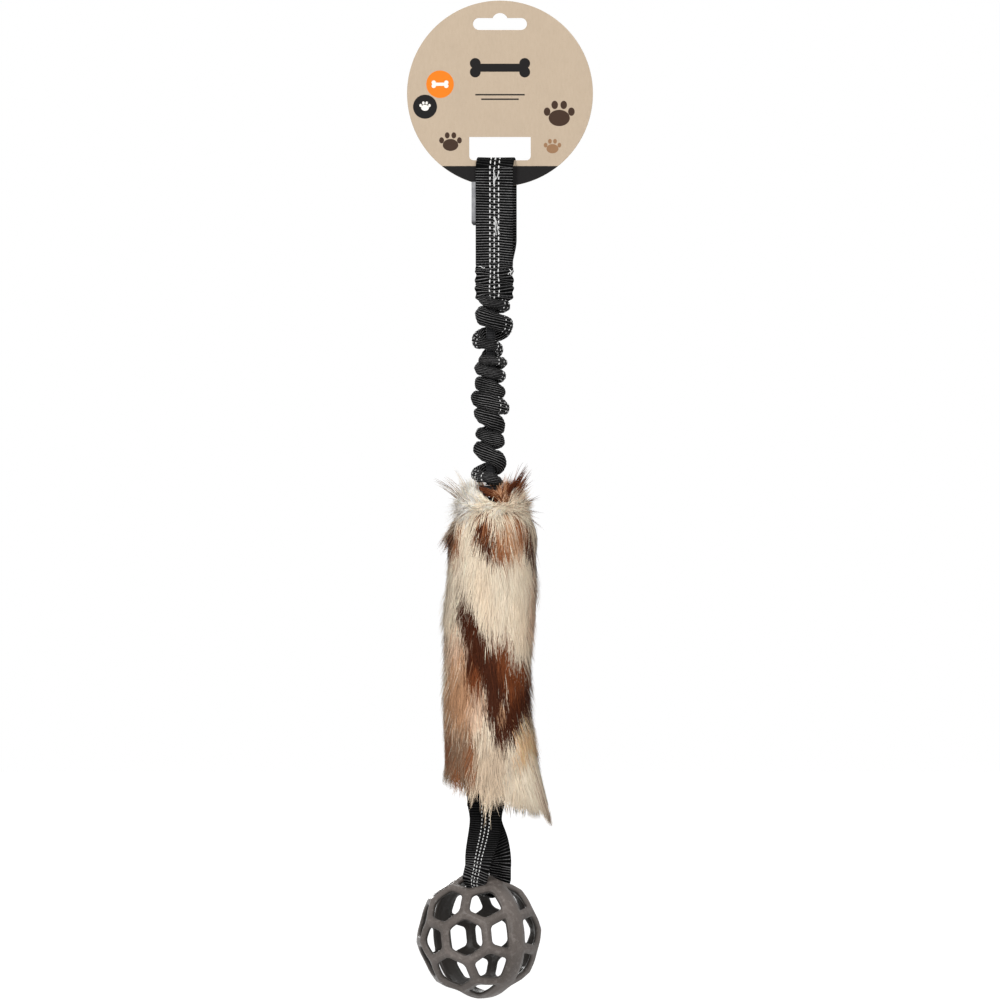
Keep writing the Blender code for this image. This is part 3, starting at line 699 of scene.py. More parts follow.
threads("snagged_yarn", loose, 0.00055, pale_yarn, "handle")

# Elastic
# A round elastic in a ribbed cover, flattened and sewn at both ends, and bound below with thread.
# It stretches between its two ends, and what is wound round it stretches with it.
bungee_x = -0.0063
bungee_top = -0.1911
bungee_end = -0.3149


def elastic_material():
    made, tree, shader = material_named(
        "black_elastic", 0.7, Sheen_Weight=0.04, Specular_IOR_Level=0.12
    )
    place = place_on(tree)
    knit = calc(tree, "SINE", calc(tree, "MULTIPLY", split(tree, place)[2], tau / 0.0011))
    tone = mix(tree, ramp(tree, knit, 0, 1), (0.006, 0.006, 0.007, 1), (0.045, 0.045, 0.047, 1))
    tree.links.new(tone, shader.inputs["Base Color"])
    relief(tree, shader, calc(tree, "ADD", knit, clouds(tree, place, 1200, 3)), 0.00012, 0.7)
    return made


elastic = elastic_material()


def core_mesh():
    """A cord of level rings, with a little rib round it."""
    sides = 24
    z = np.linspace(bungee_top, bungee_end, 420)
    angle = np.arange(sides) / sides * tau
    round_way = np.stack([np.cos(angle), np.sin(angle), 0 * angle], axis=1)
    radius = 0.00300 + 0.00014 * np.cos(tau * z / 0.0013)
    centre = np.stack([0 * z + bungee_x, 0 * z, z], axis=1)
    rings = centre[:, None] + round_way[None] * radius[:, None, None]
    return mesh_from_rings("elastic_cord", rings, uv_grid(np.linspace(0, 0.019, sides + 1), z[0] - z))


core = new_piece("elastic_cord", core_mesh(), elastic, None)
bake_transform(core)
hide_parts("elastic_core")
for name in ("elastic_top_tab", "elastic_bottom_tab"):
    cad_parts[name].data.materials.clear()
    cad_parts[name].data.materials.append(elastic)

turns = np.linspace(0, 5.2 * tau, 5 * 32 + 1)
oval = np.stack([bungee_x + 0.0076 * np.cos(turns), 0.0023 * np.sin(turns)], axis=1)
wound = np.concatenate([oval, (-0.3157 - 0.00095 * turns / tau)[:, None]], axis=1)
whipping = threads("neck_binding", [wound], 0.0008, black_thread, "bungee_end")
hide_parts("neck_whipping")

# Scrunched sleeve
# The same webbing as a tube, much longer than the elastic inside it, so that it gathers into
# uneven folds that swing from side to side. Its ribs run along the folds and its dashes over them.
sleeve_folds = [
    # across and down where the tube swings out, to one side and then the other
    (-0.0150, -0.1912), (0.0072, -0.1955), (-0.0160, -0.2001), (0.0090, -0.2094), (-0.0184, -0.2188),
    (0.0018, -0.2238), (-0.0140, -0.2315), (0.0058, -0.2325), (-0.0170, -0.2375), (0.0045, -0.2420),
    (-0.0170, -0.2468), (0.0030, -0.2535), (-0.0198, -0.2558), (0.0064, -0.2635), (-0.0170, -0.2675),
    (0.0033, -0.2755), (-0.0165, -0.2805), (0.0033, -0.2866), (-0.0176, -0.2896), (0.0036, -0.3008),
    (-0.0193, -0.3082), (0.0036, -0.3128),
]
rows_a_fold = 46
ribs_round_tube = 19
tube_sides = 72
fold_reach = 0.008
dashed_folds = {
    # place along the folds, and how far from it the dashes cross to the front
    1.0: 0.10, 3: 0.12, 4: 0.06, 5.1: 0.30, 7.05: 0.25, 9.0: 0.1, 13.1: 0.3, 11.6: 0.35, 20: 0.2,
}


def softened(values, count):
    """Values averaged with their neighbours."""
    bell = np.hanning(count)
    return np.convolve(np.pad(values, count // 2, mode="edge"), bell / bell.sum(), "valid")


def sleeve_path():
    """The tube's middle, the way out of it, and the half depth and half height of its folds."""
    order = np.arange(len(sleeve_folds), dtype=float)
    fine = np.linspace(0, order[-1], rows_a_fold * (len(order) - 1) + 1)
    reach = [abs(across - bungee_x) for across, down in sleeve_folds]
    out = softened(np.interp(fine, order, reach), 35)
    height = softened(np.interp(fine, order, [down for across, down in sleeve_folds]), 35)
    pitch = -np.gradient(height, fine) * 2
    half = softened(np.clip(pitch * 0.37, 0.0030, 0.0058), 35)
    ends = smooth(fine, 0, 1.0) * (1 - smooth(fine, order[-1] - 0.8, order[-1]))
    depth = 0.0033 + 0.0005 * np.sin(fine * 1.7)
    ring_radius = np.maximum(out - depth, 0.0034) * (0.78 + 0.22 * ends)
    angle = pi * (fine - 1)
    flat = 0.88
    x, y = ring_radius * np.cos(angle), flat * ring_radius * np.sin(angle)
    centre = np.stack([bungee_x + x, y, height], axis=1)
    outward = unit(np.stack([np.cos(angle), flat * np.sin(angle), 0 * angle], axis=1))
    return fine, centre, outward, depth, half


def sleeve_rings(fine, centre, outward, depth, half):
    """Sections of the tube, ribbed and wrinkled, kept off the elastic inside, and their ways out."""
    section = np.arange(tube_sides) / tube_sides * tau
    c, s = np.cos(section), np.sin(section)
    up = np.array([0.0, 0.0, 1.0])
    ways = c[None, :, None] * outward[:, None] + s[None, :, None] * up
    rib = 0.00013 * np.cos(section * ribs_round_tube) * (1 + 0.3 * np.sin(section * 2))
    rise = (half[:, None] + rib) * s * (0.86 + 0.14 * np.abs(s))
    lean = 0.35 * np.sin(fine * 2.3 + 1)
    shift = (depth[:, None] + rib) * c + lean[:, None] * rise * 0.3
    rings = centre[:, None] + shift[..., None] * outward[:, None] + rise[..., None] * up
    wrinkles = np.empty(rings.shape[:2])
    for i, j in np.ndindex(wrinkles.shape):
        at = Vector(rings[i, j]) * 130
        wrinkles[i, j] = noise.noise(at) + 0.4 * noise.noise(at * 3.1)
    rings += (wrinkles * 0.0011)[..., None] * unit(ways)
    distance = np.hypot(rings[..., 0] - bungee_x, rings[..., 1])
    radial = np.stack([rings[..., 0] - bungee_x, rings[..., 1], 0 * distance], axis=-1)
    push = np.maximum(0.00318 - distance, 0) / np.maximum(distance, 1e-6)
    return rings + push[..., None] * radial, unit(ways)


def sleeve_piece():
    fine, centre, outward, depth, half = sleeve_path()
    rings, ways = sleeve_rings(fine, centre, outward, depth, half)
    uv = uv_grid(np.linspace(0, ribs_round_tube * rib_pitch, tube_sides + 1), along_path(centre))
    piece = webbing_piece("gathered_sleeve", rings, uv[..., ::-1])
    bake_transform(piece)
    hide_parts("bungee_sleeve")

    lines, normals = [], []
    for fold, drift in dashed_folds.items():
        middle = fold + drift * (-1 if int(fold) % 2 else 1)
        for k in (-1, 0, 1):
            row = round((middle + dash_spacing * k / (pi * fold_reach)) * rows_a_fold)
            row = min(max(row, 0), len(fine) - 1)
            columns = (np.arange(-15, 16) - 2) % tube_sides
            lines.append(rings[row, columns])
            normals.append(ways[row, columns])
    marks = dash_piece("sleeve_dashes", (lines, normals), None, 0.0027, 0.0016, 0.0008, 0.0006)
    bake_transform(marks)


sleeve_piece()

# Inner strap
# Two plies of the webbing sewn face to face, from the bungee's end through the fur to the ball loop.
# It takes the pull, and leans a little to the left on its way down.
tail_hinge, loop_hinge = -0.3224, -0.5365
strap_foot_x = -0.0095
strap_top, strap_foot = -0.3228, -0.5290
strap_thickness = 0.0029
strap_neck_width = 0.014


def strap_x(drop):
    return bungee_x + (strap_foot_x - bungee_x) * smooth(drop, -tail_hinge, -loop_hinge)


def strap_piece():
    z = np.linspace(strap_top, strap_foot, 710)
    centre = np.stack([strap_x(-z), 0 * z, z], axis=1)
    across, facing = frame_along(centre, np.tile(level_across, (len(z), 1)))
    wider = smooth(-z, -strap_top, 0.03 - strap_top)
    width = strap_neck_width + (web_width - strap_neck_width) * wider
    rings, uv = webbing_rings(centre, across, facing, width, strap_thickness, rib_pitch)
    piece = webbing_piece("strap_webbing", rings, uv, "tail")
    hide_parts("inner_strap")


strap_piece()

# Fur sleeve
# A tube of long pile fabric, knitted behind, bound at the neck and open at the hem. The pile stands
# out at the neck and is brushed down below it. Its pattern is laid out in the photograph's pixels,
# squares of 0.667 mm, counted across from the left and down from above the card.
neck_drop, hem_drop = 0.3264, 0.5130
shoulder = 0.026
pelt_radius = 0.026
back_radius_x, back_radius_y = 0.0225, 0.0155
square = 0.000667
middle_square, top_square = 500, 13
back_mirror, back_from, back_shrink, back_shift = 985, 510, 0.82, 128
pelt_patches = [
    # across and down on the front, half width and height, lean to the right, and colour
    ((455, 590), (11, 34), 0, "oat"),
    ((536, 615), (5, 42), 0, "sand"),
    ((461, 497), (13, 26), 0, "white"),
    ((500, 497), (12, 5), 0, "brown"),
    ((523, 508), (7, 9), 0, "oat"),
    ((447, 534), (6, 13), -10, "ash"),
    ((451, 551), (9, 9), 0, "brown"),
    ((446, 553), (4, 8), 0, "dark"),
    ((478, 527), (8, 6), 0, "tan"),
    ((508, 547), (15, 14), 0, "tan"),
    ((500, 556), (12, 9), 0, "brown"),
    ((482, 541), (11, 15), 18, "brown"),
    ((487, 552), (8, 10), 14, "dark"),
    ((476, 540), (5, 10), 10, "dark"),
    ((523, 541), (5, 14), 8, "brown"),
    ((529, 554), (5, 18), 16, "dark"),
    ((442, 652), (4, 15), 0, "ash"),
    ((460, 655), (16, 18), 0, "sand"),
    ((462, 700), (21, 40), 0, "tan"),
    ((476, 714), (9, 18), 0, "sand"),
    ((461, 766), (21, 30), 0, "ash"),
    ((447, 748), (4, 20), 0, "brown"),
    ((471, 764), (5, 18), 0, "brown"),
    ((455, 784), (4, 14), 0, "brown"),
    ((492, 778), (18, 30), 0, "stone"),
    ((520, 775), (14, 16), 0, "oat"),
    ((464, 611), (5, 10), 5, "dark"),
    ((467, 623), (10, 12), 8, "dark"),
    ((474, 641), (11, 14), 20, "dark"),
    ((501, 668), (15, 25), 12, "umber"),
    ((481, 663), (14, 24), 5, "dark"),
    ((489, 684), (9, 22), 10, "dark"),
    ((495, 706), (12, 30), 0, "dark"),
    ((503, 733), (9, 18), 0, "dark"),
    ((513, 720), (11, 22), 0, "dark"),
    ((526, 697), (7, 29), 3, "dark"),
    ((516, 708), (9, 20), 0, "dark"),
    ((470, 668), (8, 16), 0, "dark"),
    ((473, 684), (7, 12), 0, "umber"),
    ((518, 683), (13, 13), 0, "umber"),
    ((510, 690), (4, 13), 0, "umber"),
    ((531, 753), (13, 26), 0, "peach"),
    ((500, 718), (3, 6), 0, "tan"),
    ((549, 820), (10, 9), 30, "rose"),
]
pelt_colours = {
    "cream": (0.970, 0.835, 0.660),
    "white": (0.970, 0.915, 0.850),
    "oat": (0.850, 0.715, 0.560),
    "stone": (0.745, 0.585, 0.430),
    "sand": (0.800, 0.555, 0.395),
    "peach": (0.960, 0.610, 0.345),
    "tan": (0.575, 0.320, 0.180),
    "rose": (0.620, 0.430, 0.320),
    "ash": (0.285, 0.170, 0.105),
    "brown": (0.330, 0.125, 0.052),
    "umber": (0.205, 0.058, 0.019),
    "dark": (0.068, 0.017, 0.006),
}
rng = np.random.default_rng(11)


def fullness(drop):
    """Half at the neck, and 1 from the foot of the shoulder down."""
    down = np.clip((drop - neck_drop) / shoulder, 0, 1)
    return 0.5 + 0.5 * np.sqrt(1 - (1 - down) ** 2)


def hem_rise(turn, drop):
    """The cloth is cut higher on the left, and a little higher right of the strap."""
    left = ((1 - np.sin(turn)) / 2) ** 2.2
    notch = np.exp(-(((turn - 0.42) / 0.34) ** 2))
    return (0.023 * left + 0.0060 * notch) * smooth(drop, 0.44, 0.513)


def pelt_outward(turn, drop):
    """The way straight out of the backing cloth, which also faces upwards on the shoulder."""
    x, y = np.sin(turn), -np.cos(turn)
    rise = 1 - np.clip((drop - neck_drop) / shoulder, 0, 1)
    return unit(np.stack([x / back_radius_x, y / back_radius_y, 0.8 * rise / 0.0190 + 0 * x], axis=-1))


def pelt_point(turn, drop, height):
    """A place over the backing cloth: turn is the angle from the front, height the way out of it."""
    full = fullness(drop)
    half_width = back_radius_x * full
    half_width += 0.0030 * smooth(drop, 0.455, 0.52) - 0.0012 * smooth(drop, 0.40, 0.45)
    half_depth = back_radius_y * full
    middle = strap_x(drop) + 0.0012 * (1 - smooth(drop, 0.35, 0.43)) + 0.0030 * smooth(drop, 0.45, 0.50)
    x, y = half_width * np.sin(turn), -half_depth * np.cos(turn)
    base = np.stack([middle + x, y, -drop], axis=-1)
    return base + pelt_outward(turn, drop) * np.asarray(height)[..., None]


def toned(colour, name, share):
    """Colours moved towards a named one by each place's share."""
    return colour + (np.array(pelt_colours[name]) - colour) * share[:, None]


def pelt_colour(places, spread):
    """Colour at places on the outside of the pile, by the patches of the pattern."""
    count = len(places)
    colour = np.tile(pelt_colours["cream"], (count, 1))
    across = places[:, 0] / square + middle_square
    down = top_square - places[:, 2] / square
    shade = rng.normal(0, 0.8, count) + 0.9 * np.sin(across * 1.9 + 3 * np.sin(down / 37))
    front = places[:, 1] < 0
    ripple = np.sin(down / 23 + np.sin(across / 17)) * 1.5
    warm = 0.5 + 0.5 * np.sin(across / 9 + 2 * np.sin(down / 40)) * np.sin(down / 31 + across / 21)
    colour = toned(colour, "peach", 0.24 * warm**2)
    colour = toned(colour, "stone", 0.35 * (rng.random(count) < 0.13))
    colour *= (1 + 0.03 * shade)[:, None]
    for (patch_across, patch_down), (half_x, half_y), turn, name in pelt_patches:
        for side in (True, False):
            at_x = patch_across if side else back_mirror - patch_across
            at_y = patch_down
            if not side and patch_down >= back_from:
                at_y = patch_down * back_shrink + back_shift
            a = radians(turn if side else -turn)
            dx, dy = across - at_x + ripple, down - at_y
            u, v = dx * cos(a) - dy * sin(a), dx * sin(a) + dy * cos(a)
            far = np.sqrt((u / half_x) ** 2 + (v / half_y) ** 2) + rng.normal(0, spread, count)
            share = np.clip((1.12 - far) / 0.26, 0, 1) * (front == side)
            target = np.array(pelt_colours[name]) * (1 + 0.16 * shade)[:, None]
            colour += (target - colour) * share[:, None]
    return np.clip(colour, 0.003, 0.97)


def fur_material(name, roughness):
    """The pelt's colours, deeper at the roots of the hairs and uneven along them."""
    made, tree, shader = material_named(name, roughness, Sheen_Weight=0.03, Specular_IOR_Level=0.08)
    tint = add(tree, "ShaderNodeAttribute", attribute_name="pelt").outputs["Color"]
    along = add(tree, "ShaderNodeAttribute", attribute_name="along").outputs["Fac"]
    stretched = add(tree, "ShaderNodeMapping", {"Vector": place_on(tree), "Scale": (900, 900, 60)})
    streak = clouds(tree, stretched.outputs[0], 1, 2)
    deep = add(tree, "ShaderNodeVectorMath", {0: tint, 1: (0.94, 0.88, 0.81)}, operation="MULTIPLY")
    tone = mix(tree, ramp(tree, along, 0.0, 0.45), deep.outputs[0], tint)
    dull = add(tree, "ShaderNodeVectorMath", {0: tone, 1: (0.97, 0.95, 0.92)}, operation="MULTIPLY")
    tone = mix(tree, ramp(tree, streak, 0.4, 0.62), dull.outputs[0], tone)
    tree.links.new(tone, shader.inputs["Base Color"])
    return made


def colour_points(mesh, colours):
    point_values(mesh, "pelt", np.concatenate([colours, np.ones((len(colours), 1))], axis=1))


def backing_piece():
    rows, around = 90, 96
    drops = np.linspace(neck_drop, hem_drop, rows)
    turn = np.arange(around) / around * tau
    grid_turn, grid_drop = np.meshgrid(turn, drops)
    lower = grid_drop - hem_rise(grid_turn, grid_drop)
    neck = 1 - smooth(grid_drop, neck_drop, neck_drop + 0.03)
    folds = 0.0006 * np.sin(grid_turn * 9 + grid_drop * 40) * (1 + neck)
    outer = pelt_point(grid_turn, lower, folds)
    inner = pelt_point(grid_turn, lower, folds - 0.0016)
    verts = np.concatenate([outer, inner[::-1]]).reshape(-1, 3)
    index = np.arange(2 * rows * around).reshape(2 * rows, around)
    index = np.concatenate([index, index[:1]])
    after = np.roll(index, -1, axis=1)
    quads = np.stack([index[:-1], after[:-1], after[1:], index[1:]], axis=-1).reshape(-1, 4)
    mesh = bpy.data.meshes.new("fur_backing")
    mesh.from_pydata(verts.tolist(), [], quads.tolist())
    bm = bmesh.new()
    bm.from_mesh(mesh)
    bmesh.ops.recalc_face_normals(bm, faces=bm.faces[:])
    bm.to_mesh(mesh)
    bm.free()
    mesh.shade_smooth()
    colour_points(mesh, pelt_colour(verts + np.array([0, 0, -0.012]), 0.05))
    point_values(mesh, "along", np.full(len(verts), 0.3))
    piece = new_piece("fur_backing", mesh, fur_material("fur_backing_cloth", 0.9), "tail")
    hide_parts("fur_sleeve")
    return piece


backing = backing_piece()
strand_points = 5
along_hair = np.linspace(0, 1, strand_points)
crown_depth = 0.010


def brushed_strands(count, low, high, length, pile):
    """Paths of hairs over the pelt, brushed down and drawn together into locks."""
    turn = rng.uniform(-pi, pi, count)
    drop = rng.uniform(low, high, count)
    drop = drop - hem_rise(turn, drop)
    locks = max(count // 22, 8)
    lock_turn = rng.uniform(-pi, pi, locks)
    lock_drop = rng.uniform(low, high + 0.004, locks)
    nearest = np.empty(count, int)
    for start in range(0, count, 2000):
        part = slice(start, start + 2000)
        aside = np.angle(np.exp(1j * (turn[part, None] - lock_turn[None]))) * pelt_radius
        below = (drop[part, None] - lock_drop[None]) * 0.6
        nearest[part] = np.argmin(aside**2 + below**2, axis=1)
    over_strap = np.exp(-(((turn + 0.05) / 0.26) ** 2)) * smooth(drop, 0.493, 0.507)
    wisp = rng.uniform(-0.15, 0.35, count) + 1.1 * (rng.random(count) < 0.16) * rng.random(count)
    hang = length * rng.uniform(0.75, 1.12, count) * (1 + over_strap * wisp)
    lock_hang = rng.uniform(0.85, 1.1, locks)[nearest] * length
    lock_lean = rng.normal(0, 0.10, locks)[nearest]
    lock_pile = rng.uniform(0.80, 1.06, locks)[nearest]
    lock_rise = (rng.uniform(0.0015, 0.0042, locks) * (rng.random(locks) < 0.2))[nearest]
    t = along_hair[None]
    lean = (lock_lean + rng.normal(0, 0.035, count))[:, None]
    turns = turn[:, None] + lean * t * length / pelt_radius
    drops = drop[:, None] + hang[:, None] * t * 0.97
    pull = (0.5 + 0.3 * smooth(drop, 0.480, 0.505))[:, None] * t**1.8
    off = np.angle(np.exp(1j * (lock_turn[nearest] - turn)))[:, None]
    turns = turns + off * pull
    drops = drops + ((lock_drop[nearest] + lock_hang)[:, None] - drops) * pull * 0.3
    layer = rng.uniform(0.4, 1.0, count) ** 0.5
    uneven = 1 + 0.09 * np.sin(drop * 95 + 2 * turn) + 0.06 * np.sin(drop * 41 + 3 * turn + 1)
    tall = (pile * layer * lock_pile * uneven)[:, None]
    heights = tall * (1 - (1 - t) ** 2.2) - 0.08 * tall * t**3 + lock_rise[:, None] * t**2.5
    return pelt_point(turns, drops, heights), pelt_outward(turns, drops)


crown_tufts = [
    # turn round the neck and seat down it, the tip's place across and down on the grid and out in
    # millimetres, hairs, spread, and colours
    (-1.1, 0.1, (471, 479, -6), 150, 3.0, "white white cream"),
    (-1.3, 0.2, (462, 481, -4), 170, 3.0, "white white cream"),
    (-1.4, 0.35, (457, 490, -4), 190, 3.0, "white white oat"),
    (-1.4, 0.5, (456, 501, -5), 190, 3.0, "white cream white"),
    (-1.3, 0.7, (457, 513, -8), 190, 3.0, "white cream oat"),
    (-1.1, 0.8, (460, 525, -12), 190, 3.0, "cream oat white"),
    (-0.9, 0.25, (472, 490, -12), 190, 3.0, "white white cream"),
    (-0.8, 0.5, (466, 505, -14), 200, 3.0, "white cream white"),
    (-0.6, 0.5, (475, 508, -16), 180, 3.0, "cream white cream"),
    (-0.7, 0.7, (469, 520, -16), 190, 3.0, "cream white oat"),
    (-1.2, 0.1, (453, 466, -4), 16, 1.2, "white oat"),
    (-1.4, 0.2, (443, 474, -2), 12, 2.0, "oat ash"),
    (-1.5, 0.2, (434, 480, 0), 14, 1.5, "ash oat"),
    (-1.4, 1.1, (448, 534, -6), 200, 3.2, "oat ash stone"),
    (-1.4, 1.3, (446, 541, -5), 200, 3.2, "ash oat stone"),
    (-1.5, 1.3, (442, 546, -3), 150, 2.6, "ash brown oat"),
    (-1.3, 1.4, (445, 551, -8), 160, 2.6, "brown ash dark"),
    (-1.4, 1.3, (436, 549, -2), 18, 2.0, "brown dark"),
    (0.55, 0.0, (478, 487, -19), 130, 1.3, "dark dark umber brown"),
    (0.65, 0.0, (484, 491, -20), 120, 1.6, "dark umber dark brown"),
    (0.55, 0.0, (492, 491, -17), 80, 2.0, "brown tan umber"),
    (0.50, 0.0, (499, 487, -14), 120, 2.4, "tan sand tan brown"),
    (-0.7, 0.15, (473, 490, -15), 170, 2.6, "white cream white"),
    (-0.4, 0.15, (477, 494, -16), 170, 2.6, "cream white oat"),
    (-0.15, 0.15, (480, 499, -15), 170, 2.6, "cream cream oat"),
    (0.10, 0.2, (484, 505, -16), 170, 2.8, "cream oat cream"),
    (0.00, 0.3, (481, 509, -18), 170, 2.8, "cream white oat"),
    (0.50, 0.0, (506, 483, -14), 100, 2.0, "dark brown tan"),
    (0.70, 0.0, (513, 480, -13), 80, 1.8, "dark dark umber"),
    (0.90, 0.0, (520, 475, -12), 80, 1.8, "dark umber dark"),
    (1.05, 0.0, (527, 467, -10), 60, 1.7, "dark umber dark"),
    (1.20, 0.1, (531, 471, -8), 34, 1.7, "umber dark"),
    (0.90, 0.05, (526, 479, -12), 40, 1.7, "dark umber brown"),
    (1.00, 0.1, (518, 488, -10), 150, 2.4, "cream sand oat cream"),
    (1.20, 0.15, (524, 485, -6), 110, 2.4, "cream sand oat brown"),
    (0.62, 0.05, (506, 494, -16), 90, 2.4, "dark tan sand brown"),
    (0.75, 0.2, (500, 512, -21), 170, 3.0, "cream cream oat"),
    (0.85, 0.25, (511, 508, -19), 170, 3.0, "cream oat sand"),
    (0.60, 0.3, (492, 517, -22), 170, 3.0, "cream white oat"),
    (1.20, 0.3, (527, 492, -5), 170, 3.0, "oat sand cream"),
    (1.30, 0.5, (530, 503, -6), 170, 3.0, "cream oat sand"),
    (1.20, 0.7, (530, 515, -9), 170, 3.0, "oat cream sand"),
    (1.00, 0.8, (529, 527, -12), 160, 3.0, "cream oat"),
    (0.90, 0.35, (518, 499, -14), 180, 3.0, "cream sand oat"),
    (0.80, 0.6, (521, 512, -15), 180, 3.0, "cream cream sand"),
    (1.30, 0.1, (537, 478, 0), 6, 1.5, "dark umber"),
    (1.40, 0.3, (539, 497, 0), 8, 2.0, "dark umber"),
    (1.40, 0.5, (543, 513, -4), 8, 2.0, "umber dark"),
    (1.40, 0.6, (540, 520, -4), 8, 2.0, "umber tan"),
    (1.20, 0.8, (549, 532, -8), 5, 1.2, "umber dark"),
    (0.80, 0.0, (524, 463, -6), 7, 2.5, "dark umber"),
    (0.50, 0.0, (511, 472, -9), 8, 2.0, "dark tan"),
    (-2.2, 0.1, (464, 484, 8), 170, 4.0, "cream oat white"),
    (-2.7, 0.1, (478, 480, 14), 170, 4.0, "cream sand brown"),
    (3.0, 0.1, (492, 478, 15), 170, 4.0, "brown tan umber"),
    (2.5, 0.1, (508, 480, 13), 170, 4.0, "tan sand brown"),
    (2.0, 0.1, (520, 484, 8), 170, 4.0, "sand oat brown"),
    (-2.0, 0.5, (458, 502, 7), 170, 4.0, "cream oat"),
    (2.0, 0.5, (528, 502, 7), 170, 4.0, "cream oat sand"),
    (-2.6, 0.6, (474, 505, 17), 180, 4.0, "cream oat"),
    (2.6, 0.6, (510, 505, 17), 180, 4.0, "cream oat"),
    (3.1, 0.5, (492, 500, 19), 180, 4.0, "oat sand cream"),
]


def crown_roots(turn, seat):
    return pelt_point(turn, neck_drop + 0.0005 + crown_depth * seat, 0 * turn)


def crown_facing(turn, paths):
    """The way out of the collar, a little upwards, along each hair."""
    way = unit(np.stack([0.8 * np.sin(turn), -np.cos(turn), 0.35 + 0 * turn], axis=1))
    return way[:, None] + 0 * paths


def tuft_strands(share):
    """Hairs of the collar, which stand up round the neck in tufts of one colour each."""
    paths, facing, colours = [], [], []
    t = along_hair[None, :, None]
    for turn, seat, (across, down, out), number, spread, names in crown_tufts:
        count = max(int(number * share), 3)
        turns = rng.normal(turn, 0.13, count)
        seats = np.clip(rng.normal(seat, 0.07, count), 0, 1.4)
        root = crown_roots(turns, seats)
        tip = np.array([(across - middle_square) * square, out / 1000, (top_square - down) * square])
        tip = tip + rng.normal(0, 1, (count, 3)) * spread * np.array([square, 0.0009, square])
        way = (tip - root) * rng.uniform(0.72, 1.04, count)[:, None]
        arch = (np.linalg.norm(way, axis=1) * rng.uniform(0.02, 0.13, count))[:, None, None]
        path = root[:, None] + way[:, None] * t + arch * np.sin(pi * t) * np.array([0, -0.3, 1.0])
        paths.append(path)
        facing.append(crown_facing(turns, path))
        table = np.array([pelt_colours[name] for name in names.split()])
        colour = table[rng.integers(0, len(table), count)]
        colours.append(colour * (1 + 0.14 * rng.normal(0, 1, count))[:, None])
    return (np.concatenate(paths), np.concatenate(facing)), np.concatenate(colours)


def fan_strands(count):
    """Hairs that part from the collar and fall over the shoulder."""
    turn = rng.uniform(-pi, pi, count)
    seat = rng.uniform(0.2, 1, count)
    root = crown_roots(turn, seat)
    tufts = 110
    tuft_turn = rng.uniform(-pi, pi, tufts)
    tuft_seat = rng.uniform(0.2, 1, tufts)
    apart = np.abs(np.angle(np.exp(1j * (turn[:, None] - tuft_turn[None]))))
    tuft = np.argmin(apart + 0.9 * np.abs(seat[:, None] - tuft_seat[None]), axis=1)
    climb = 0.55 - 1.9 * seat + rng.normal(0, 0.14, tufts)[tuft] + rng.normal(0, 0.09, count)
    aim = turn + 0.7 * np.angle(np.exp(1j * (tuft_turn[tuft] - turn))) + rng.normal(0, 0.07, count)
    flare = 0.9 - 0.5 * smooth(seat, 0.15, 0.8)
    way = unit(np.stack([np.sin(aim) * flare, -0.45 * np.cos(aim) * (1.4 - 0.4 * flare), climb], axis=1))
    length = (0.0165 - 0.0045 * np.abs(np.sin(aim))) * rng.uniform(0.75, 1.1, count)
    length = length * rng.uniform(0.8, 1.2, tufts)[tuft]
    sag = rng.uniform(0.02, 0.22, count)
    t = along_hair[None, :, None]
    paths = root[:, None] + way[:, None] * (length[:, None, None] * t)
    paths = paths - np.array([0, 0, 1.0]) * (length * sag)[:, None, None] * t**2.2
    return paths, crown_facing(aim, paths)


def lock_strands(count):
    """The long lock that hangs off the hem's right corner, in smaller locks, and ends in a point."""
    sub_locks = 16
    ends = np.array([
        (0.0045, -0.010, -0.5265), (0.0165, -0.011, -0.5345), (0.0255, -0.010, -0.5365),
        (0.0345, -0.007, -0.5425),
    ])
    share = (rng.integers(0, sub_locks, count) + 0.5) / sub_locks + rng.normal(0, 0.010, count)
    reach = rng.uniform(0.93, 1.03, sub_locks + 1)[np.clip(share * sub_locks, 0, sub_locks).astype(int)]
    turn = 0.35 + 1.15 * share + rng.normal(0, 0.12, count)
    drop = rng.uniform(0.478, 0.508, count)
    root = pelt_point(turn, drop, 0.001 + 0.004 * rng.random(count))
    along = np.interp(share, [0, 0.3, 0.5, 0.8, 1], [0, 1, 2, 3, 3])
    end = np.stack([np.interp(along, np.arange(4), column) for column in ends.T], axis=1)
    end += rng.normal(0, 0.0008, (count, 3))
    end = root + (end - root) * (reach * rng.uniform(0.76, 1.0, count) ** 0.7)[:, None]
    t = along_hair[None, :, None]
    outward = pelt_outward(turn, drop)[:, None]
    bow = outward * (0.0035 * np.sin(pi * t**0.8)) * np.array([0.2, 1.0, 1.0])
    return root[:, None] * (1 - t) + end[:, None] * t + bow, unit(outward + 0 * bow)


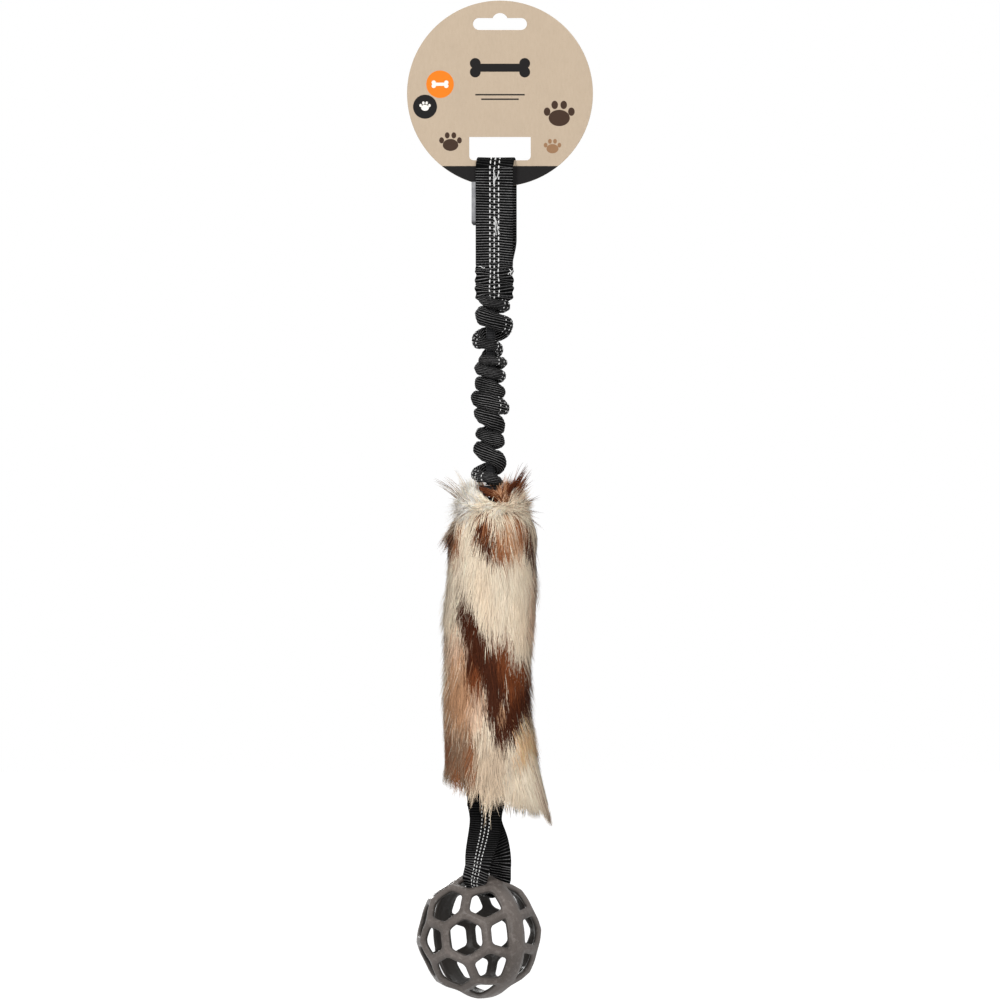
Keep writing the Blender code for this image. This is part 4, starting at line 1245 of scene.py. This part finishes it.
def strand_tree():
    """Hairs along lines: three sided with a flat side outwards, and drawn to a point."""
    tree, given, line = lines_tree("hairs_along_lines", Hair_Width="Float", Hair="Material")
    along = add(tree, "GeometryNodeSplineParameter").outputs["Factor"]
    kept = {0: line, "Name": "along", "Value": along}
    marked = add(tree, "GeometryNodeStoreNamedAttribute", kept, data_type="FLOAT", domain="POINT")
    fine = add(tree, "GeometryNodeInputNamedAttribute", {0: "thick"}, data_type="FLOAT")
    half = calc(tree, "MULTIPLY", given["Hair Width"], 0.5)
    ring = add(tree, "GeometryNodeCurvePrimitiveCircle", {"Resolution": 3, "Radius": half})
    turned_ring = {"Geometry": ring.outputs[0], "Rotation": (0, 0, pi), "Scale": (0.6, 1.15, 1.15)}
    flat = add(tree, "GeometryNodeTransform", turned_ring)
    facing = add(tree, "GeometryNodeInputNamedAttribute", {0: "facing"}, data_type="FLOAT_VECTOR")
    outwards = {"Curve": marked.outputs[0], "Normal": facing.outputs[0]}
    turned = add(tree, "GeometryNodeSetCurveNormal", outwards, mode="FREE")
    swept = {0: turned.outputs[0], 1: flat.outputs[0], "Scale": fine.outputs[0], "Fill Caps": True}
    hair = add(tree, "GeometryNodeCurveToMesh", swept)
    return dressed_tree(tree, hair.outputs[0], given["Hair"])


hairs = strand_tree()
hair_material = fur_material("fur_hair", 0.6)


def strand_layout(mesh, count):
    """A cell of the texture for each hair, so that no two hairs share a place on it."""
    sides = 3
    cells = int(np.ceil(np.sqrt(count)))

    def values(items, field, number):
        found = np.empty(number, int)
        items.foreach_get(field, found)
        return found

    corner = values(mesh.loops, "vertex_index", len(mesh.loops))
    total = values(mesh.polygons, "loop_total", len(mesh.polygons))
    first = values(mesh.polygons, "loop_start", len(mesh.polygons))
    face = np.repeat(np.arange(len(total)), total)
    strand, place = np.divmod(corner, strand_points * sides)
    row, side = np.divmod(place, sides)
    last = np.maximum.reduceat(side, first)[face]
    least = np.minimum.reduceat(side, first)[face]
    cap = total[face] == sides
    across = np.where((last == 2) & (least == 0) & (side == 0) & ~cap, 3, side).astype(float)
    along = row.astype(float)
    along = np.where(cap & (row == 0), -0.25 - 0.2 * (side == 1), along)
    along = np.where(cap & (row > 0), strand_points - 0.75 + 0.2 * (side == 1), along)
    u = (strand % cells + 0.12 + 0.76 * across / 3) / cells
    v = (strand // cells + 0.14 + 0.72 * (along + 0.45) / (strand_points - 0.1)) / cells
    layer = mesh.uv_layers.new(name="OFBake")
    layer.data.foreach_set("uv", np.stack([u, v], axis=1).ravel())


def hair_piece(name, strands, spread, width, sample_at=(0.0, 0.0, 0.2, 0.4, 0.4), colour=None, body="tail"):
    """Hairs with the pelt's colours, shaded as the pelt is, so that the pile looks soft."""
    paths, facing = strands
    count = len(paths)
    profile = np.array([1.0, 1.0, 0.9, 0.6, 0.08])
    thick = rng.uniform(0.75, 1.2, count)[:, None] * profile[None]
    sample = np.tensordot(paths, np.array(sample_at), axes=([1], [0]))
    sample = sample + rng.normal(0, 1, (count, 3)) * np.array([0.0012, 0, 0.0042])
    if colour is None:
        colour = pelt_colour(sample, spread)
    index = np.arange(count * strand_points).reshape(count, strand_points)
    edges = np.stack([index[:, :-1], index[:, 1:]], axis=-1).reshape(-1, 2)
    mesh = bpy.data.meshes.new(name + "_lines")
    mesh.from_pydata(paths.reshape(-1, 3).tolist(), edges.tolist(), [])
    point_values(mesh, "thick", thick.ravel())
    point_values(mesh, "facing", facing.reshape(-1, 3))
    colour_points(mesh, np.repeat(np.clip(colour, 0.003, 0.97), strand_points, axis=0))
    plain = with_tree(placed(name + "_lines", mesh), hairs, Hair_Width=width, Hair=hair_material)
    strand_layout(plain, count)
    outward = np.empty(len(plain.vertices) * 3)
    plain.attributes["facing"].data.foreach_get("vector", outward)
    own = np.empty(len(plain.vertices) * 3)
    plain.vertex_normals.foreach_get("vector", own)
    soft = unit(outward.reshape(-1, 3) * 0.80 + own.reshape(-1, 3) * 0.20)
    plain.normals_split_custom_set_from_vertices(soft.tolist())
    return new_piece(name, plain, None, body)


fur_length, fur_pile = 0.026, 0.0085
pile_pieces = 7
fur_pieces = []
per_piece = 7000
for number in range(pile_pieces):
    strands = brushed_strands(per_piece, neck_drop + 0.003, hem_drop, fur_length, fur_pile)
    fur_pieces.append(hair_piece(f"fur_pile_{number + 1}", strands, 0.20, 0.00042))
collar, colours = tuft_strands(per_piece / 7500)
fur_pieces.append(hair_piece("fur_collar", collar, 0, 0.00038, colour=colours, body=None))
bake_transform(fur_pieces[-1])
fan = fan_strands(int(per_piece * 0.5))
fur_pieces.append(hair_piece("fur_shoulder", fan, 0.12, 0.00038, (0, 0.2, 0.4, 0.3, 0.1)))
fur_pieces.append(hair_piece("fur_hem_lock", lock_strands(per_piece // 6), 0.12, 0.00042))

# Lattice ball
# Two moulded halves of warm grey rubber, glued together on the band: a football's pentagons and
# hexagons, opened down to round struts. The pentagons by the band reach down to it.
ball_radius = 0.042
ball_wall = 0.005
ball_band = 0.0125
ball_strut = 0.0053
ball_gap = 0.00002
rim_bulge = 0.0016
ball_crown, crown_reach = 0.0011, 0.0017
longest_edge = 0.0022
rim_steps = 8
towards_loop = Vector((0.10124, -0.21495, 0.97136)).normalized()
band_axis = Vector((-0.76796, -0.63758, -0.06105)).normalized()
ball_centre = Vector((-0.01409, -0.00071, -0.6153))


def rubber():
    """Warm grey rubber, dusty on its outer skin, with painted shade that goes near black down the walls of
    its holes and on its inside.
    """
    made, tree, shader = material_named("grey_rubber", 0.42, Specular_IOR_Level=0.30)
    place = place_on(tree)
    out = add(tree, "ShaderNodeVectorMath", {0: place, 1: tuple(ball_centre)}, operation="DISTANCE")
    # Painted shade: below the outer skin the colour goes near black, from about 3 mm deep.
    skin = ramp(tree, out.outputs["Value"], ball_radius - 0.0034, ball_radius - 0.0002)
    grain = clouds(tree, place, 2600, 2)
    dust = clouds(tree, place, 320, 4)
    cloud = ramp(tree, clouds(tree, place, 45, 5), 0.3, 0.7)
    tone = mix(tree, cloud, (0.088, 0.073, 0.064, 1), (0.136, 0.115, 0.103, 1))
    # Painted shade: the wall goes near black towards the inside, and the specks below stay on the outer
    # skin.
    tone = mix(tree, skin, (0.018, 0.014, 0.011, 1), tone)
    fine = ramp(tree, grain, 0.5, 0.7, 0, 0.3)
    speck = calc(tree, "ADD", ramp(tree, dust, 0.5, 0.75, 0, 0.4), fine)
    speck = calc(tree, "MULTIPLY", speck, skin)
    tone = mix(tree, speck, tone, (0.27, 0.24, 0.222, 1))
    tree.links.new(tone, shader.inputs["Base Color"])
    tree.links.new(ramp(tree, dust, 0.35, 0.7, 0.38, 0.55), shader.inputs["Roughness"])
    relief(tree, shader, grain, 0.00003, 0.5)
    return made


def ball_skin(side):
    """The outer skin of one half, open at its holes, which are wider by the bulge of their rims."""
    spread = 1.14
    strut = ball_strut / spread
    band_line = ball_band / spread / 2 - strut / 2
    bulge = rim_bulge / spread
    bm = bmesh.new()
    bmesh.ops.create_icosphere(bm, subdivisions=1, radius=ball_radius)
    turn = Matrix.Rotation(pi / 5, 3, "Z")
    bmesh.ops.rotate(bm, verts=bm.verts[:], cent=(0, 0, 0), matrix=turn)
    bmesh.ops.bevel(
        bm, geom=bm.verts[:], offset=100 / 3, offset_type="PERCENT", segments=1, profile=0.5,
        affect="VERTICES",
    )
    bmesh.ops.remove_doubles(bm, verts=bm.verts[:], dist=ball_radius / 1000)
    for height, trims in ((ball_gap, True), (band_line, False)):
        bmesh.ops.bisect_plane(
            bm, geom=bm.verts[:] + bm.edges[:] + bm.faces[:], plane_co=(0, 0, side * height),
            plane_no=(0, 0, -side), clear_outer=trims,
        )
    for edge in bm.edges:
        low, high = sorted(edge.verts, key=lambda vert: side * vert.co.z)
        if side * low.co.z > band_line - ball_gap and edge.calc_length() < strut:
            high.co = low.co
    bmesh.ops.remove_doubles(bm, verts=bm.verts[:], dist=ball_radius / 1000)
    opened = [face for face in bm.faces if side * face.calc_center_median().z > band_line]
    for edge in {edge for face in opened for edge in face.edges}:
        bmesh.utils.edge_split(edge, edge.verts[0], 0.5)
    inset = strut / 2 - 0.45 * bulge
    bmesh.ops.inset_individual(bm, faces=opened, thickness=inset, use_even_offset=True)
    corners = {
        loop.vert for face in opened for loop in face.loops if loop.calc_angle() < radians(170)
    }
    bmesh.ops.bevel(
        bm, geom=list(corners), offset=0.0030, offset_type="OFFSET", segments=4, profile=0.5,
        affect="VERTICES",
    )
    opened = [face for face in bm.faces if len(face.verts) > 12]
    bmesh.ops.delete(bm, geom=opened, context="FACES")
    return bm


def at_joint(vert):
    """Whether a point lies where the two halves meet."""
    return abs(abs(vert.co.z) - ball_gap) < ball_gap / 5


def round_skin(bm):
    """Splits the skin's long edges, and puts its points on the sphere, or on the joint's circle."""
    bmesh.ops.triangulate(bm, faces=bm.faces[:])
    for _ in range(3):
        long_edges = [edge for edge in bm.edges if edge.calc_length() > longest_edge]
        if not long_edges:
            break
        bmesh.ops.subdivide_edges(bm, edges=long_edges, cuts=1)
        bmesh.ops.triangulate(bm, faces=bm.faces[:])
    for vert in bm.verts:
        if at_joint(vert):
            height = vert.co.z
            flat = Vector((vert.co.x, vert.co.y)).normalized() * sqrt(ball_radius**2 - height**2)
            vert.co = (flat.x, flat.y, height)
        else:
            vert.co = vert.co.normalized() * ball_radius


def crowns(bm, borders):
    """How far each point is drawn into the wall, so that the struts are round towards their rims."""
    rim = [vert.co.copy() for edge in borders for vert in edge.verts if not at_joint(vert)]
    rims = KDTree(len(rim))
    for number, place in enumerate(rim):
        rims.insert(place, number)
    rims.balance()
    return {vert: ball_crown * exp(-((rims.find(vert.co)[2] / crown_reach) ** 2)) for vert in bm.verts}


def ways_off(borders):
    """For each point of the skin's borders, the way along the skin and off it."""
    ways = {}
    for edge in borders:
        face = edge.link_faces[0]
        middle = (edge.verts[0].co + edge.verts[1].co) / 2
        along = (edge.verts[1].co - edge.verts[0].co).normalized()
        out = middle.normalized().cross(along)
        if out.dot(face.calc_center_median() - middle) > 0:
            out = -out
        for vert in edge.verts:
            ways[vert] = ways.get(vert, Vector()) + out
    return ways


def inner_skin(bm, crown):
    """Adds the wall's inside, draws the outside into its crowns, and gives each point's inner one."""
    scale = 1 - ball_wall / ball_radius
    outer = bm.faces[:]
    inside = {}
    for vert in list(bm.verts):
        if at_joint(vert):
            inside[vert] = bm.verts.new((vert.co.x * scale, vert.co.y * scale, vert.co.z))
        else:
            inside[vert] = bm.verts.new(vert.co * (scale + 0.7 * crown[vert] / ball_radius))
            vert.co *= 1 - crown[vert] / ball_radius
    for face in outer:
        bm.faces.new([inside[vert] for vert in reversed(face.verts)])
    return inside


def join_skins(bm, borders, ways, inside):
    """Closes the wall at its borders, flat at the joint and bulging into the holes elsewhere."""
    columns = {}
    for vert, way in ways.items():
        out = way.normalized() * (0 if at_joint(vert) else rim_bulge)
        column = [vert]
        for k in range(1, rim_steps):
            angle = pi * k / rim_steps
            point = vert.co.lerp(inside[vert].co, 0.5 - 0.5 * cos(angle)) + out * sin(angle)
            column.append(bm.verts.new(point))
        columns[vert] = column + [inside[vert]]
    for edge in borders:
        near, far = columns[edge.verts[0]], columns[edge.verts[1]]
        for k in range(rim_steps):
            bm.faces.new((near[k], far[k], far[k + 1], near[k + 1]))


def ball_half_mesh(name, side):
    bm = ball_skin(side)
    round_skin(bm)
    borders = [edge for edge in bm.edges if edge.is_boundary]
    crown = crowns(bm, borders)
    ways = ways_off(borders)
    join_skins(bm, borders, ways, inner_skin(bm, crown))
    bmesh.ops.recalc_face_normals(bm, faces=bm.faces[:])
    mesh = bpy.data.meshes.new(name)
    bm.to_mesh(mesh)
    bm.free()
    along_band = band_axis.cross(towards_loop)
    turned = Matrix((towards_loop, along_band, band_axis)).transposed().to_4x4()
    mesh.transform(Matrix.Translation(ball_centre) @ turned)
    mesh.shade_smooth()
    mesh.set_sharp_from_angle(angle=radians(62))
    return mesh


grey = rubber()
for name, side in (("ball_half_front", 1), ("ball_half_back", -1)):
    half = new_piece(name + "_rubber", ball_half_mesh(name + "_rubber", side), grey, "ball")
    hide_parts(name)

# Ball loop
# The strap's two plies part below the fur, pass in through two of the ball's holes and meet round
# its band, bunched narrower than the webbing where the holes squeeze them.
loop_pivot = np.array([-0.0084, -0.0078, -0.5768])
loop_up, loop_axis = np.array(towards_loop), np.array(band_axis)
loop_side = np.array(band_axis.cross(towards_loop))
loop_bend = 0.0101 + web_thickness / 2
free_run = 0.0075
ply_gap = 0.0003
front_width, bunched_width, back_width = 0.0200, 0.0155, 0.0180


def curve_between(start, start_way, end, end_way, count):
    t = np.linspace(0, 1, count)[:, None]
    reach = np.linalg.norm(end - start)
    return (
        start * (2 * t**3 - 3 * t**2 + 1) + start_way * reach * (t**3 - 2 * t**2 + t)
        + end * (3 * t**2 - 2 * t**3) + end_way * reach * (t**3 - t**2)
    )


def loop_ply(sign, hole_width, aside):
    """Path, turn and width of one ply, from the strap's end to where it meets the band."""
    top = np.array([strap_foot_x, -sign * (web_thickness + ply_gap) / 2, loop_hinge - 0.00035])
    end = loop_pivot + loop_axis * sign * loop_bend + loop_up * free_run + level_across * aside
    lead = top + np.array([0, 0, 1.0]) * np.linspace(0.0105, 0.0005, 20)[:, None]
    bent = curve_between(top, np.array([0, 0, -1.0]), end, -loop_up, 80)
    path = np.concatenate([lead, bent])
    t = np.concatenate([np.zeros(20), np.linspace(0, 1, 80)])
    wide = 0.0215 + 0.0035 * (1 - smooth(-path[:, 2], 0.526, 0.537))
    return path, 0.72 * smooth(t, 0.1, 1.0), wide + (hole_width - wide) * smooth(t, 0.3, 1.0)


def loop_strip():
    """Middle, way across and width of the webbing, down one ply, round the band and up the other."""
    front, front_turned, front_wide = loop_ply(1, front_width, 0.0009)
    back, back_turned, back_wide = loop_ply(-1, back_width, -0.0008)
    angle = np.linspace(0, pi, 90)
    share = angle / pi
    ring = loop_axis * loop_bend * np.cos(angle)[:, None] - loop_up * loop_bend * np.sin(angle)[:, None]
    ring_wide = front_width - (front_width - bunched_width) * smooth(share, 0, 0.5)
    ring_wide = ring_wide + (back_width - bunched_width) * smooth(share, 0.5, 1)
    ring_turned = 1 - 0.28 * (1 - smooth(share, 0, 0.35)) - 0.28 * smooth(share, 0.65, 1)
    centre = np.concatenate([front, loop_pivot + ring, back[::-1]])
    turned = np.concatenate([front_turned, ring_turned, back_turned[::-1]])[:, None]
    across = unit(level_across * (1 - turned) - loop_side * turned)
    width = np.concatenate([front_wide, ring_wide, back_wide[::-1]])
    return resampled(centre, 0.00029, across, width)


def loop_piece():
    centre, across, width = loop_strip()
    width = softened(width, 41)
    across, facing = frame_along(centre, across)
    if facing[10, 1] > 0:
        facing = -facing
    share = np.linspace(-1, 1, face_columns)[None]
    bunch = np.clip((web_width - width) / web_width, 0, 1)[:, None]
    lift = bunch * (0.0009 * np.cos(share * 7 + 0.6) + 0.0005 * np.cos(share * 13))
    rings, uv = webbing_rings(centre, across, facing, width, web_thickness, rib_pitch, lift)
    piece = webbing_piece("ball_loop_webbing", rings, uv)
    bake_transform(piece)
    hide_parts("ball_loop")
    marks = lines_on_face(rings, facing, width, dash_spacing * width / web_width, 4, 5)
    marks = dash_piece("loop_dashes", marks, None, 0.0027, 0.0018, 0.00085, 0.0006)
    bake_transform(marks)


loop_piece()

# Floor, light and camera
# A pale floor under the hanging toy, one broad key lamp, a fill from the front, a lamp above, one
# behind, and an even pale sky. The camera stands far off, so that it sees the toy almost flat.
floor_z = -0.80


def looked_at(tree):
    """One for what the camera sees, straight or reflected, and nought for light cast on the toy."""
    path = add(tree, "ShaderNodeLightPath").outputs
    seen = calc(tree, "MAXIMUM", path["Is Camera Ray"], path["Is Glossy Ray"])
    return calc(tree, "MAXIMUM", seen, path["Is Transmission Ray"])


def studio_material():
    """Matt white paper, which looks brighter than the light it gives back."""
    made, tree, shader = material_named("studio_paper", 0.9)
    shader.inputs["Base Color"].default_value = (0.5, 0.5, 0.5, 1)
    away = add(tree, "ShaderNodeVectorMath", {0: place_on(tree)}, operation="LENGTH")
    strength = ramp(tree, away.outputs["Value"], 1.0, 5.0, 0.74, 0.97)
    glow = add(tree, "ShaderNodeEmission", {"Color": (1, 1, 1, 1), "Strength": strength})
    both = add(tree, "ShaderNodeAddShader", {0: shader.outputs[0], 1: glow.outputs[0]})
    shown = add(tree, "ShaderNodeMixShader", {0: looked_at(tree), 1: shader.outputs[0], 2: both.outputs[0]})
    out = next(n for n in tree.nodes if n.type == "OUTPUT_MATERIAL")
    tree.links.new(shown.outputs[0], out.inputs[0])
    return made


def floor_mesh():
    bm = bmesh.new()
    bmesh.ops.create_circle(bm, cap_ends=True, radius=12, segments=64)
    bmesh.ops.translate(bm, verts=bm.verts[:], vec=(0, 0, floor_z))
    mesh = bpy.data.meshes.new("studio_floor")
    bm.to_mesh(mesh)
    bm.free()
    return mesh


floor = new_piece("studio_floor", floor_mesh(), studio_material())


def lamp(name, place, aim, size, power):
    data = bpy.data.lights.new(name, "AREA")
    data.shape = "DISK"
    data.size = size
    data.energy = power
    obj = placed(name, data)
    obj.location = place
    obj.rotation_euler = (Vector(aim) - Vector(place)).to_track_quat("-Z", "Y").to_euler()


lamp("key_lamp", (-0.9, -1.8, 1.1), (0, 0, -0.32), 0.7, 35)
lamp("fill_lamp", (0.25, -2.8, 0.15), (0, 0, -0.35), 1.0, 39)
lamp("top_lamp", (0.3, 0.5, 1.4), (0, 0, -0.3), 0.8, 16)
lamp("back_lamp", (-0.7, 2.6, 0.5), (0, 0, -0.35), 1.2, 34)

world = bpy.data.worlds.new("studio_sky")
bpy.context.scene.world = world
world.use_nodes = True
sky = world.node_tree
strength = calc(sky, "ADD", calc(sky, "MULTIPLY", looked_at(sky), 0.86), 0.14)
background = sky.nodes["Background"]
background.inputs[0].default_value = (1, 1, 1, 1)
sky.links.new(strength, background.inputs[1])

camera = bpy.data.cameras.new("photo_camera")
camera.lens = 400
camera.sensor_width = 36
camera.clip_end = 50
camera_object = placed("photo_camera", camera)
camera_object.location = (0, -7.411, -0.3248)
camera_object.rotation_euler = (pi / 2, 0, 0)
bpy.context.scene.camera = camera_object
bpy.context.scene.view_settings.view_transform = "Standard"
